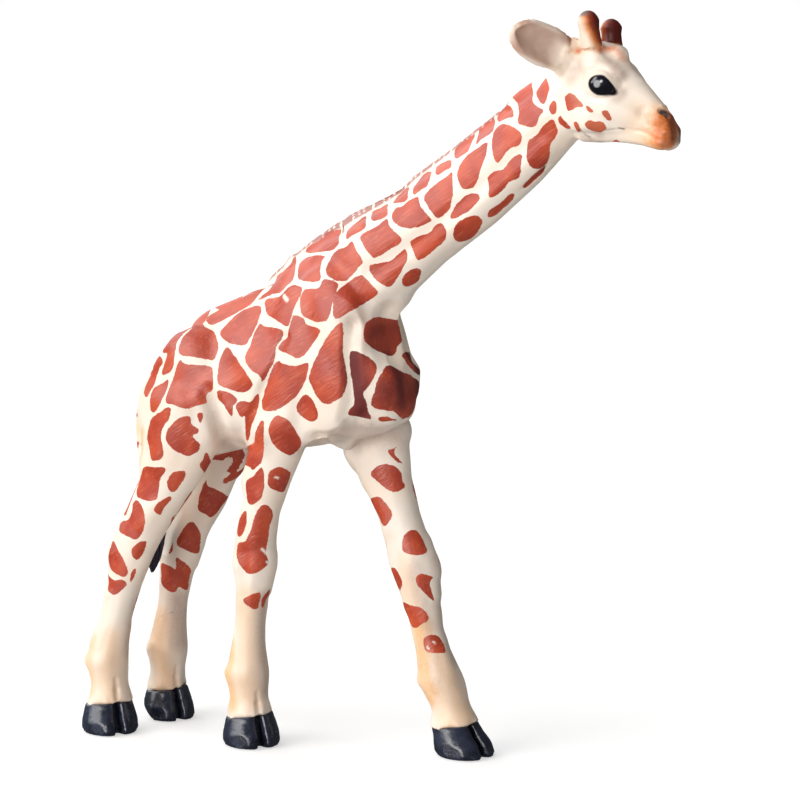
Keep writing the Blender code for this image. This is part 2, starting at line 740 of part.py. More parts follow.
def hoof(leg, top, facing, parts):
    """A cloven hoof: flat below, flared over the toe, split in front, and sawn to meet the shin."""
    bm = bmesh.new()
    rings = []
    points = 28
    for rise, length, width, forward in hoof_shares:
        height = HOOF_HEIGHT * rise
        centre = leg.at_height(height) + leg.toe * (HOOF_LENGTH * forward)
        ring = []
        for i in range(points):
            angle = 2 * math.pi * i / points
            reach = HOOF_LENGTH * length / 2 * math.cos(angle)
            aside = HOOF_WIDTH * width / 2 * math.sin(angle)
            turn = min(angle, 2 * math.pi - angle)
            reach -= HOOF_CLEFT * length * math.exp(-((turn / 0.16) ** 2))
            ring.append(centre + leg.toe * reach + Z_AXIS.cross(leg.toe) * aside)
        rings.append(ring)
    loft(bm, rings)
    saw(bm, top - facing * (GLUE_GAP / 2), facing)
    made = add_object(leg.name + "_hoof", mesh_from(bm, leg.name + "_hoof"), parts, "hoof")
    made.data.shade_smooth()
    made.data.set_sharp_from_angle(angle=math.radians(50))
    return made


def tail_point(back, aside, down):
    root = Vector((-TRUNK_LENGTH * tail_seat_share, 0, TAIL_ROOT_HEIGHT))
    return root + Vector((-back, aside, -down)) * TAIL_DIAMETER


def tail_mesh(name, grown, scrap):
    """The tail as a tapered rod along its path, or one that is that much fatter."""
    curve = bpy.data.curves.new(name, "CURVE")
    curve.dimensions = "3D"
    curve.bevel_depth = TAIL_DIAMETER / 2 + grown
    curve.bevel_resolution = 2
    curve.resolution_u = 3
    curve.use_fill_caps = True
    spline = curve.splines.new("NURBS")
    spline.points.add(len(tail_shares) - 1)
    for point, (back, aside, down, thickness) in zip(spline.points, tail_shares):
        point.co = (*tail_point(back, aside, down), 1)
        point.radius = thickness
    spline.use_endpoint_u = True
    spline.order_u = 4
    path = bpy.data.objects.new(name, curve)
    scrap.objects.link(path)
    bm = bmesh.new()
    bm.from_mesh(evaluated_mesh(path))
    bpy.data.objects.remove(path)
    bmesh.ops.remove_doubles(bm, verts=bm.verts, dist=GLUE_GAP / 30)
    return mesh_from(bm, name)


def tail(torso, parts, scrap):
    """The tail and its tuft, which hang from the rump down between the hind legs."""
    rod = add_object("tail", tail_mesh("tail", 0, scrap), parts, "skin")
    rod.data.shade_smooth()
    groove = add_object("tail_groove", tail_mesh("tail_groove", PEG_CLEARANCE, scrap), scrap)
    boolean(torso, groove, "DIFFERENCE")
    root = tail_point(*tail_shares[0][:3])
    backward = (tail_point(*tail_shares[1][:3]) - root).normalized()
    seat = root - backward * GLUE_GAP
    width = TAIL_DIAMETER * tail_shares[0][3]
    cutter = seat_cutter("tail_seat", seat, backward, width, TAIL_DIAMETER, scrap)
    boolean(torso, cutter, "DIFFERENCE")
    peg_and_socket(rod, torso, seat, -backward, TAIL_PEG_DIAMETER, TAIL_PEG_LENGTH, scrap)
    end = tail_point(*tail_shares[-1][:3])
    downward = (end - tail_point(*tail_shares[-2][:3])).normalized()
    top = end + downward * GLUE_GAP
    tuft = tail_tuft(top, downward, parts)
    peg_and_socket(tuft, rod, top, -downward, TUFT_PEG_DIAMETER, TUFT_PEG_LENGTH, scrap)


def tail_tuft(top, downward, parts):
    """A tuft of long hair in locks, drawn to a point."""
    bm = bmesh.new()
    across = Y_AXIS
    forward = downward.cross(across).normalized()
    rings = []
    points = 24
    locks = 6
    for fall, girth in tuft_shares:
        centre = top + downward * (TUFT_LENGTH * fall)
        ring = []
        for i in range(points):
            angle = 2 * math.pi * i / points
            lock = 1 + 0.10 * math.cos(locks * (angle + fall))
            radius = TUFT_DIAMETER / 2 * girth * lock
            ring.append(centre + across * (radius * math.cos(angle)) + forward * (radius * math.sin(angle)))
        rings.append(ring)
    loft(bm, rings)
    made = add_object("tail_tuft", mesh_from(bm, "tail_tuft"), parts, "tuft")
    made.data.shade_smooth()
    return made


def legs(skin, torso, parts, scrap):
    """The upper leg, lower leg and hoof of each leg, pegged to the torso and to each other."""
    seam = Z_AXIS * LEG_SEAM_HEIGHT
    shin = Z_AXIS * SHIN_SEAM_HEIGHT
    for leg in LEGS:
        middle = leg.at_height((LEG_SEAM_HEIGHT + SHIN_SEAM_HEIGHT) / 2)
        cuts = ((seam, Z_AXIS), (shin, -Z_AXIS))
        upper = casting(leg.name + "_upper_leg", skin, cuts, middle, UPPER_LEG_TRIANGLES, parts, scrap)
        coronet = leg.at_height(HOOF_HEIGHT)
        facing = Vector((-math.sin(HOOF_SEAM_TILT), 0, math.cos(HOOF_SEAM_TILT)))
        middle = leg.at_height((HOOF_HEIGHT + SHIN_SEAM_HEIGHT) / 2)
        cuts = ((shin, Z_AXIS), (coronet, -facing))
        lower = casting(leg.name + "_lower_leg", skin, cuts, middle, LOWER_LEG_TRIANGLES, parts, scrap)
        foot = hoof(leg, coronet, facing, parts)
        hip = leg.at_height(LEG_SEAM_HEIGHT)
        rising = (leg.at_height(LEG_SEAM_HEIGHT + LEG_PEG_LENGTH) - hip).normalized()
        peg_and_socket(upper, torso, hip, rising, LEG_PEG_DIAMETER, LEG_PEG_LENGTH, scrap)
        knee = leg.at_height(SHIN_SEAM_HEIGHT)
        falling = (leg.at_height(SHIN_SEAM_HEIGHT - SHIN_PEG_LENGTH) - knee).normalized()
        peg_and_socket(upper, lower, knee, falling, SHIN_PEG_DIAMETER, SHIN_PEG_LENGTH, scrap)
        peg_and_socket(lower, foot, coronet, -facing, HOOF_PEG_DIAMETER, HOOF_PEG_LENGTH, scrap)
        print(leg.name, "sole at", [round(value, 5) for value in leg.centre(0)])


def stand_on_origin(collections):
    """Carries everything on one empty, so that the middle of the box stands over the origin."""
    graph = bpy.context.evaluated_depsgraph_get()
    corners = []
    for thing in collections[0].objects:
        mesh = thing.evaluated_get(graph).to_mesh()
        corners += [vertex.co.copy() for vertex in mesh.vertices]
    low = [min(corner[axis] for corner in corners) for axis in range(3)]
    high = [max(corner[axis] for corner in corners) for axis in range(3)]
    stand = bpy.data.objects.new("standing_point", None)
    collections[0].objects.link(stand)
    stand.location = (-(low[0] + high[0]) / 2, -(low[1] + high[1]) / 2, 0)
    for collection in collections:
        for thing in collection.objects:
            if thing != stand:
                thing.parent = stand
    print("box", [round(value, 5) for value in low], [round(value, 5) for value in high])
    print("carried by", [round(value, 5) for value in stand.location])


def main():
    clear_scene()
    parts = new_collection("toy_giraffe")
    scrap = new_collection("forms_and_cutters", hidden=True)
    skin = skin_form(scrap)
    seam = Z_AXIS * LEG_SEAM_HEIGHT
    chest = Vector((-TRUNK_LENGTH / 2, 0, WITHERS_HEIGHT))
    cuts = ((NECK_SEAM, NECK_SEAM_FACING), (seam, -Z_AXIS))
    torso = casting("torso", skin, cuts, chest, TORSO_TRIANGLES, parts, scrap)
    cuts = ((NECK_SEAM, -NECK_SEAM_FACING), (NECK_TOP, THROAT_SEAM_FACING))
    neck = casting("neck", skin, cuts, NECK_TOP, NECK_TRIANGLES, parts, scrap)
    cuts = ((NECK_TOP, -THROAT_SEAM_FACING),)
    head = casting("head", skin, cuts, HEAD_MIDDLE, HEAD_TRIANGLES, parts, scrap)
    peg_and_socket(neck, torso, NECK_SEAM, -NECK_SEAM_FACING, NECK_PEG_DIAMETER, NECK_PEG_LENGTH, scrap)
    peg_and_socket(head, neck, NECK_TOP, -THROAT_SEAM_FACING, THROAT_PEG_DIAMETER, THROAT_PEG_LENGTH, scrap)
    legs(skin, torso, parts, scrap)
    tail(torso, parts, scrap)
    ossicone("ossicone_right", -1, OSSICONE_RIGHT_LENGTH, ossicone_right_seat_shares, head, parts, scrap)
    ossicone("ossicone_left", 1, OSSICONE_LEFT_LENGTH, ossicone_left_seat_shares, head, parts, scrap)
    for name, side in (("right", -1), ("left", 1)):
        eye("eye_" + name, side, head, parts, scrap)
        ear("ear_" + name, side, head, parts, scrap)
    stand_on_origin((parts, scrap))


main()
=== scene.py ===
# %% [markdown]
# A solid PVC toy giraffe in mid-step. The real one is cast in pieces, glued up, sprayed cream,
# shaded with an airbrush and then painted patch by patch. This lesson dresses the imported castings:
# it turns their faceted skin into one smooth sculpted surface, cuts it at the same seams again,
# carves the fine forms, and paints the coat from listed outlines.

import math

import bpy
import numpy as np
from mathutils import Matrix, Vector
from mathutils.bvhtree import BVHTree


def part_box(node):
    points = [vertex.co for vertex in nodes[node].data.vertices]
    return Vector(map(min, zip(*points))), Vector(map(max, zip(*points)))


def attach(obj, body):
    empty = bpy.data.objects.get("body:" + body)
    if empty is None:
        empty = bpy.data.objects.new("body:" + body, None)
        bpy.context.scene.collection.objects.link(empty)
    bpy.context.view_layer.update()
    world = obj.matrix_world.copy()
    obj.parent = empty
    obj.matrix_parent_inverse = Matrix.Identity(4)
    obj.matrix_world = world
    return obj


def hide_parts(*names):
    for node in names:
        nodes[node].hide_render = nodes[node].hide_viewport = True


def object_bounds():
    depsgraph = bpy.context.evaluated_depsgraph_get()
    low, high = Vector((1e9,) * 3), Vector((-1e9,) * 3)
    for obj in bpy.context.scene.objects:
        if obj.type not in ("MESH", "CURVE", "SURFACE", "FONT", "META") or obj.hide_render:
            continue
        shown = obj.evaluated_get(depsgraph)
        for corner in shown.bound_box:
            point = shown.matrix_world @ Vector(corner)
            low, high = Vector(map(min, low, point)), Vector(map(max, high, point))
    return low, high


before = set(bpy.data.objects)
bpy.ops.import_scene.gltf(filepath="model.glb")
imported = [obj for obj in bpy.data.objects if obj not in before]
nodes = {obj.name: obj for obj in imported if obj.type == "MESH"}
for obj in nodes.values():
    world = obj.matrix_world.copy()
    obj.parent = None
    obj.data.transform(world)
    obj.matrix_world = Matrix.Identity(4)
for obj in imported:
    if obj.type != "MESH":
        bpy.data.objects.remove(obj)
cad_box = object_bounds()
MM = 0.001
print("castings:", len(nodes))
print("box in mm:", [[round(c / MM, 1) for c in corner] for corner in cad_box])

# %% [markdown]
# The photograph was taken with a long lens, from the animal's right front quarter and a little above.
# The camera stands at the same bearing and height and looks at the same point, so that a place in
# the picture is a place on the toy. Everything that is given in pixels uses this camera.

# %% Camera at the photograph's angle
VIEW_BEARING = math.radians(28.0)
VIEW_RISE = math.radians(8.0)
VIEW_DISTANCE = 0.700
VIEW_TARGET = Vector((0.00612, 0.0, 0.0868))
FOCAL_PIXELS = 2940.0
PICTURE_PIXELS = 800.0
SENSOR_MM = 36.0

view_back = Vector((
    math.sin(VIEW_BEARING) * math.cos(VIEW_RISE),
    -math.cos(VIEW_BEARING) * math.cos(VIEW_RISE),
    math.sin(VIEW_RISE),
))
view_right = Vector((math.cos(VIEW_BEARING), math.sin(VIEW_BEARING), 0.0))
view_up = view_back.cross(view_right)
view_eye = VIEW_TARGET + view_back * VIEW_DISTANCE


def add_camera():
    data = bpy.data.cameras.new("camera")
    data.sensor_width = SENSOR_MM
    data.lens = FOCAL_PIXELS / PICTURE_PIXELS * SENSOR_MM
    data.clip_start = 0.05
    data.clip_end = 20.0
    camera = bpy.data.objects.new("camera", data)
    bpy.context.scene.collection.objects.link(camera)
    turn = Matrix((view_right, view_up, view_back)).transposed().to_4x4()
    camera.matrix_world = Matrix.Translation(view_eye) @ turn
    bpy.context.scene.camera = camera
    print("camera lens in mm:", round(data.lens, 1))


add_camera()

# %% [markdown]
# A packshot stands on white paper in soft light. The key lamp hangs high at the animal's rear right,
# which leaves the breast in shade. A low, broad one at its right side keeps that shade open, weaker
# ones come from above and behind, and a small spot opens up the face.

# %% Floor and soft lights
WHITE = (1.0, 1.0, 1.0, 1.0)
FLOOR_REACH = 30.0
FLOOR_LEVEL = -0.2 * MM
PAPER_GREY = (0.66, 0.66, 0.655, 1.0)
PAPER_ROUGHNESS = 0.9
PAPER_GLOW = 0.52
AIR_GLOW = 0.20
AIR_IN_GLOSS = 0.07
FAR_LAMPS = (
    # name, place, strength, spread in degrees and colour
    ("key", (-1.0, -0.85, 0.88), 1.60, 44.0, (1.0, 0.99, 0.98)),
    ("front", (-0.22, -1.0, 0.22), 2.15, 40.0, (1.0, 0.99, 0.985)),
    ("top", (-0.4, -0.1, 1.5), 0.55, 60.0, (1.0, 1.0, 1.0)),
    ("back", (-1.0, 0.45, 0.75), 0.95, 44.0, (0.95, 0.975, 1.0)),
)
FACE_LAMP_PLACE = Vector((0.16, -0.50, 0.36))
FACE_LAMP_AIM = Vector((0.060, -0.004, 0.162))
FACE_LAMP_RADIUS = 0.08
FACE_WATTS = 3.0
FACE_CONE = math.radians(21.0)


def paper():
    """White paper that glows a little for the camera alone, as a packshot's lit paper does."""
    made = bpy.data.materials.new("paper")
    made.use_nodes = True
    tree = made.node_tree
    shader = tree.nodes["Principled BSDF"]
    shader.inputs["Base Color"].default_value = PAPER_GREY
    shader.inputs["Roughness"].default_value = PAPER_ROUGHNESS
    shader.inputs["Specular IOR Level"].default_value = 0.0
    shader.inputs["Emission Color"].default_value = WHITE
    rays = tree.nodes.new("ShaderNodeLightPath")
    glow = tree.nodes.new("ShaderNodeMath")
    glow.operation = "MULTIPLY"
    glow.inputs[1].default_value = PAPER_GLOW
    tree.links.new(rays.outputs["Is Camera Ray"], glow.inputs[0])
    tree.links.new(glow.outputs[0], shader.inputs["Emission Strength"])
    return made


def add_floor():
    bpy.ops.object.select_all(action="DESELECT")
    bpy.ops.mesh.primitive_plane_add(size=FLOOR_REACH, location=(0, 0, FLOOR_LEVEL))
    floor = bpy.context.object
    floor.name = "floor"
    bpy.ops.object.transform_apply(location=True, rotation=True, scale=True)
    floor.data.materials.append(paper())
    floor.visible_glossy = False


def hang(name, data, place, aim):
    lamp = bpy.data.objects.new(name, data)
    bpy.context.scene.collection.objects.link(lamp)
    lamp.location = place
    lamp.rotation_euler = (aim - Vector(place)).to_track_quat("-Z", "Y").to_euler()


def add_far_lamp(name, place, strength, spread, colour):
    """A far lamp that shines from a place towards the toy, as soft as its disc is wide."""
    data = bpy.data.lights.new(name, "SUN")
    data.energy = strength
    data.angle = math.radians(spread)
    data.color = colour
    hang(name, data, place, VIEW_TARGET)


def add_face_lamp():
    """A small soft lamp in front that opens up the face and fades out down the neck."""
    data = bpy.data.lights.new("face", "SPOT")
    data.energy = FACE_WATTS
    data.spot_size = FACE_CONE
    data.spot_blend = 1.0
    data.shadow_soft_size = FACE_LAMP_RADIUS
    hang("face", data, FACE_LAMP_PLACE, FACE_LAMP_AIM)


def add_studio_air():
    """White behind the toy, and an even glow round it that hardly shows in its gloss."""
    world = bpy.data.worlds.new("studio")
    world.use_nodes = True
    tree = world.node_tree
    air = tree.nodes["Background"]
    air.inputs["Color"].default_value = WHITE
    rays = tree.nodes.new("ShaderNodeLightPath")
    seen = tree.nodes.new("ShaderNodeMapRange")
    seen.inputs[3].default_value = AIR_GLOW
    seen.inputs[4].default_value = AIR_IN_GLOSS
    shown = tree.nodes.new("ShaderNodeMath")
    shown.operation = "MAXIMUM"
    tree.links.new(rays.outputs["Is Glossy Ray"], seen.inputs[0])
    tree.links.new(seen.outputs[0], shown.inputs[0])
    tree.links.new(rays.outputs["Is Camera Ray"], shown.inputs[1])
    tree.links.new(shown.outputs[0], air.inputs["Strength"])
    bpy.context.scene.world = world


add_floor()
for far_lamp in FAR_LAMPS:
    add_far_lamp(*far_lamp)
add_face_lamp()
add_studio_air()
bpy.context.scene.view_settings.view_transform = "Standard"
print("floor and", len(bpy.data.lights), "lights")

# %% [markdown]
# The castings meet at flat seams with a hair of glue between them. For one smooth skin, each casting
# is copied, grown by a little more than half that gap, and all of them are joined and remeshed with
# small voxels. Only the outer shell is kept, and a smoothing that keeps the volume takes the facets
# away: it pulls each point towards its neighbours and then pushes it nearly as far back. Large voxels
# go first, because they let a few rounds of smoothing reach far, and a subdivision refines them.

# %% Tools for picking and changing a mesh


def deselect():
    if bpy.context.object and bpy.context.object.mode != "OBJECT":
        bpy.ops.object.mode_set(mode="OBJECT")
    bpy.ops.object.select_all(action="DESELECT")


def pick(thing):
    deselect()
    thing.select_set(True)
    bpy.context.view_layer.objects.active = thing


def copy_of(node, name):
    made = bpy.data.objects.new(name, nodes[node].data.copy())
    bpy.context.scene.collection.objects.link(made)
    made.data.materials.clear()
    pick(made)
    bpy.ops.object.mode_set(mode="EDIT")
    bpy.ops.mesh.select_all(action="SELECT")
    bpy.ops.mesh.remove_doubles(threshold=0.00001)
    bpy.ops.mesh.normals_make_consistent(inside=False)
    bpy.ops.object.mode_set(mode="OBJECT")
    return made


def apply_modifier(thing, kind, **settings):
    pick(thing)
    modifier = thing.modifiers.new(kind.lower(), kind)
    for key, value in settings.items():
        setattr(modifier, key, value)
    bpy.ops.object.modifier_apply(modifier=modifier.name)


def points_of(thing):
    flat = np.empty(len(thing.data.vertices) * 3, np.float32)
    thing.data.vertices.foreach_get("co", flat)
    return flat.reshape(-1, 3).astype(float)


def set_points(thing, points):
    thing.data.vertices.foreach_set("co", points.astype(np.float32).ravel())
    thing.data.update()


def normals_of(thing):
    flat = np.empty(len(thing.data.vertices) * 3, np.float32)
    thing.data.vertex_normals.foreach_get("vector", flat)
    return flat.reshape(-1, 3).astype(float)


def edges_of(thing):
    flat = np.empty(len(thing.data.edges) * 2, np.int32)
    thing.data.edges.foreach_get("vertices", flat)
    return flat.reshape(-1, 2)


def tree_of(thing):
    points = [tuple(p) for p in points_of(thing)]
    return BVHTree.FromPolygons(points, [tuple(face.vertices) for face in thing.data.polygons])


# %% Smoothing that keeps the volume
PULL = 0.5
PUSH_BACK = -0.53


def relax(thing, rounds):
    points = points_of(thing)
    edges = edges_of(thing)
    count = len(points)
    one, two = edges[:, 0], edges[:, 1]
    degree = np.bincount(one, minlength=count) + np.bincount(two, minlength=count)
    for _ in range(rounds):
        for step in (PULL, PUSH_BACK):
            mean = np.empty_like(points)
            for axis in range(3):
                values = points[:, axis]
                mean[:, axis] = np.bincount(one, values[two], count) + np.bincount(two, values[one], count)
            mean /= degree[:, None]
            points += (mean - points) * step
    set_points(thing, points)


# %% [markdown]
# On the real toy the ear is as broad at its root as in its middle, and runs into the skull and the nape
# without an edge. Balls of clay along the root, joined with the castings, fill that corner.

# %% The ear's frame, and clay at its root
EAR_ROOT = Vector((51.4, 6.1, 169.1)) * MM
EAR_OUTWARD = Vector((-0.4325, 0.8273, 0.3584))
EAR_TURN = math.radians(20.0)
EAR_CLAY = (
    # across the ear towards its lower edge, outward and radius, in mm
    (-3.6, 0.8, 0.9), (-2.6, 0.6, 1.4), (-1.6, 0.0, 1.8), (-2.8, -1.6, 2.0),
    (0.0, -0.4, 1.9), (1.6, -0.2, 1.9), (2.8, 0.6, 1.4), (3.7, 1.0, 1.0),
    (3.4, -0.8, 1.7), (3.6, -2.4, 2.2), (2.0, -2.0, 2.6), (4.4, -3.6, 2.0),
)
EAR_CLAY_BEHIND = 0.6


def ear_frame(side):
    outward = EAR_OUTWARD * Vector((1.0, side, 1.0))
    opening = (Vector((1, 0, 0)) - outward * outward.x).normalized()
    opening = Matrix.Rotation(side * EAR_TURN, 3, outward) @ opening
    return EAR_ROOT * Vector((1.0, side, 1.0)), outward, opening, outward.cross(opening) * side


def ear_clay():
    balls = []
    for side in (-1.0, 1.0):
        root, outward, opening, across = ear_frame(side)
        for aside, out, radius in EAR_CLAY:
            place = root + (across * aside + outward * out - opening * EAR_CLAY_BEHIND) * MM
            bpy.ops.mesh.primitive_ico_sphere_add(subdivisions=3, radius=radius * MM, location=place)
            balls.append(bpy.context.object)
    return balls


# %% One shell from several castings
LEG_NAMES = ("fore_right", "fore_left", "hind_right", "hind_left")
BODY_NODES = ["torso", "neck", "head"]
for leg_name in LEG_NAMES:
    BODY_NODES += [leg_name + "_upper_leg", leg_name + "_lower_leg"]
HEAD_NODES = ["neck", "head", "eye_right", "eye_left", "ear_right", "ear_left",
              "ossicone_right", "ossicone_left"]
GROWTH = 0.2 * MM
BODY_VOXEL = 0.8 * MM
BODY_ROUNDS = 40
HEAD_VOXEL = 0.3 * MM
HEAD_ROUNDS = 34


def largest_shell(thing):
    """Selects the shell with the most faces, and deletes the others."""
    pick(thing)
    bpy.ops.object.mode_set(mode="EDIT")
    bpy.ops.mesh.select_all(action="SELECT")
    bpy.ops.mesh.separate(type="LOOSE")
    bpy.ops.object.mode_set(mode="OBJECT")
    shells = list(bpy.context.selected_objects)
    shells.sort(key=lambda shell: len(shell.data.polygons))
    for inner in shells[:-1]:
        bpy.data.objects.remove(inner)
    pick(shells[-1])
    return shells[-1]


def one_shell(name, node_names, voxel, rounds, clay=()):
    copies = []
    for node in node_names:
        made = copy_of(node, name + "_" + node)
        apply_modifier(made, "DISPLACE", strength=GROWTH, mid_level=0.0)
        copies.append(made)
    deselect()
    for made in copies + list(clay):
        made.select_set(True)
    bpy.context.view_layer.objects.active = copies[0]
    bpy.ops.object.join()
    apply_modifier(bpy.context.object, "REMESH", mode="VOXEL", voxel_size=voxel)
    shell = largest_shell(bpy.context.object)
    shell.name = name
    apply_modifier(shell, "DISPLACE", strength=-GROWTH, mid_level=0.0)
    relax(shell, rounds)
    print(name, "faces:", len(shell.data.polygons))
    return shell


body = one_shell("body", BODY_NODES, BODY_VOXEL, BODY_ROUNDS)
apply_modifier(body, "SUBSURF", levels=1, render_levels=1)
fine_head = one_shell("fine_head", HEAD_NODES, HEAD_VOXEL, HEAD_ROUNDS, ear_clay())

# %% [markdown]
# The painter of the real toy fills in one patch after another and leaves cream lines between them.
# Each patch is laid out here as a few points, in pixels of the photograph, that a closed curve runs
# through. A ray from the camera puts each point on the skin. A point outside the silhouette is
# wrapped round it, as far round the skin as it lies outside.

# %% Outlines of the patches on the near side
trunk_outlines = (
    ((208, 303), (209, 314), (190, 329), (178, 341), (168, 353), (161, 350), (172, 331), (190, 313)),
    ((160, 356), (163, 362), (158, 372), (154, 385), (150, 392), (147, 397), (140, 394), (134, 385),
     (140, 371), (150, 360)),
    ((162, 374), (165, 362), (170, 346), (177, 341), (175, 355), (173, 367), (169, 373)),
    ((153, 389), (163, 383), (168, 379), (168, 386), (164, 396), (157, 410), (152, 412), (150, 404)),
    ((200, 322), (190, 330), (180, 343), (179, 352), (184, 356), (200, 358), (213, 360), (217, 354),
     (218, 345), (214, 332), (205, 327)),
    ((206, 320), (212, 325), (225, 319), (240, 311), (252, 303), (260, 293), (270, 285), (267, 281),
     (256, 288), (243, 297), (230, 304), (213, 313)),
    ((211, 309), (218, 309), (230, 305), (241, 299), (240, 290), (227, 293), (214, 300)),
    ((220, 334), (229, 343), (245, 345), (250, 338), (257, 324), (261, 312), (260, 306), (252, 307),
     (240, 312), (228, 323)),
    ((180, 360), (185, 364), (208, 366), (213, 372), (213, 388), (207, 394), (206, 403), (195, 406),
     (187, 409), (175, 405), (166, 402), (168, 391), (173, 378)),
    ((226, 348), (231, 350), (240, 364), (251, 380), (252, 387), (243, 392), (228, 389), (218, 383),
     (218, 370), (221, 356)),
    ((218, 391), (224, 391), (232, 394), (237, 400), (233, 406), (232, 416), (229, 413), (224, 405),
     (218, 399)),
    ((236, 408), (238, 403), (243, 401), (250, 402), (256, 395), (259, 395), (258, 408), (252, 426),
     (248, 440), (246, 438), (245, 425), (245, 415), (241, 417)),
    ((295, 256), (296, 264), (295, 272), (290, 283), (283, 290), (273, 294), (258, 300), (263, 295),
     (271, 288), (277, 276), (284, 264)),
    ((325, 256), (322, 261), (320, 270), (320, 280), (310, 282), (299, 280), (298, 273), (300, 263),
     (308, 257)),
    ((267, 299), (265, 307), (268, 315), (276, 320), (286, 326), (290, 322), (294, 308), (302, 290),
     (298, 286), (293, 285), (285, 291), (280, 296)),
    ((301, 297), (306, 289), (318, 288), (323, 280), (330, 280), (338, 285), (336, 292), (333, 301),
     (330, 313), (326, 321), (313, 321), (303, 315), (300, 307)),
    ((291, 321), (294, 315), (303, 318), (308, 325), (318, 328), (320, 332), (312, 345), (304, 355),
     (298, 358), (290, 355), (279, 350), (280, 344), (288, 335)),
    ((260, 324), (266, 327), (276, 328), (283, 331), (282, 338), (276, 348), (275, 358), (269, 371),
     (261, 384), (261, 377), (251, 370), (245, 358), (250, 346), (254, 334)),
    ((336, 319), (333, 308), (334, 297), (339, 289), (349, 282), (360, 275), (366, 278), (372, 285),
     (378, 292), (374, 297), (366, 303), (353, 310)),
    ((341, 322), (343, 328), (343, 345), (344, 358), (346, 370), (347, 382), (343, 395), (335, 401),
     (327, 404), (319, 400), (312, 387), (309, 378), (313, 364), (321, 347), (331, 332)),
    ((278, 361), (284, 364), (295, 366), (308, 363), (307, 375), (303, 385), (298, 394), (288, 403),
     (277, 410), (265, 411), (262, 403), (266, 386), (271, 371)),
    ((302, 396), (308, 395), (314, 402), (318, 415), (315, 421), (309, 421), (299, 414), (297, 405)),
    ((275, 416), (281, 416), (289, 421), (295, 430), (301, 441), (299, 449), (291, 455), (282, 452),
     (273, 444), (269, 434), (270, 424)),
    ((260, 422), (264, 422), (264, 438), (263, 455), (260, 464), (252, 470), (248, 466), (247, 454),
     (252, 444), (256, 431)),
    ((171, 408), (170, 415), (168, 421), (163, 427), (161, 436), (163, 450), (162, 458), (155, 461),
     (151, 459), (149, 448), (147, 438), (149, 426), (152, 418), (160, 412), (166, 408)),
    ((185, 416), (190, 417), (192, 425), (199, 429), (198, 433), (193, 436), (196, 440), (200, 444),
     (198, 451), (188, 456), (179, 453), (171, 448), (166, 439), (167, 431), (175, 421)),
    ((197, 414), (203, 413), (202, 420), (200, 424)),
    ((365, 325), (371, 319), (380, 317), (389, 319), (398, 320), (400, 328), (399, 345), (396, 352),
     (390, 356), (382, 353), (372, 348), (365, 342), (363, 334)),
    ((350, 353), (354, 351), (361, 353), (371, 359), (377, 367), (374, 377), (369, 386), (363, 393),
     (366, 402), (368, 411), (371, 419), (361, 417), (348, 415), (350, 409), (354, 404), (353, 388),
     (350, 368)),
    ((385, 367), (392, 366), (402, 372), (410, 375), (419, 382), (422, 392), (416, 406), (409, 417),
     (402, 419), (395, 412), (385, 410), (375, 408), (371, 402), (375, 388), (380, 375)),
    ((403, 353), (409, 352), (418, 360), (424, 372), (418, 375), (410, 367), (405, 361)),
    ((379, 417), (388, 417), (397, 420), (392, 421), (380, 421)),
)
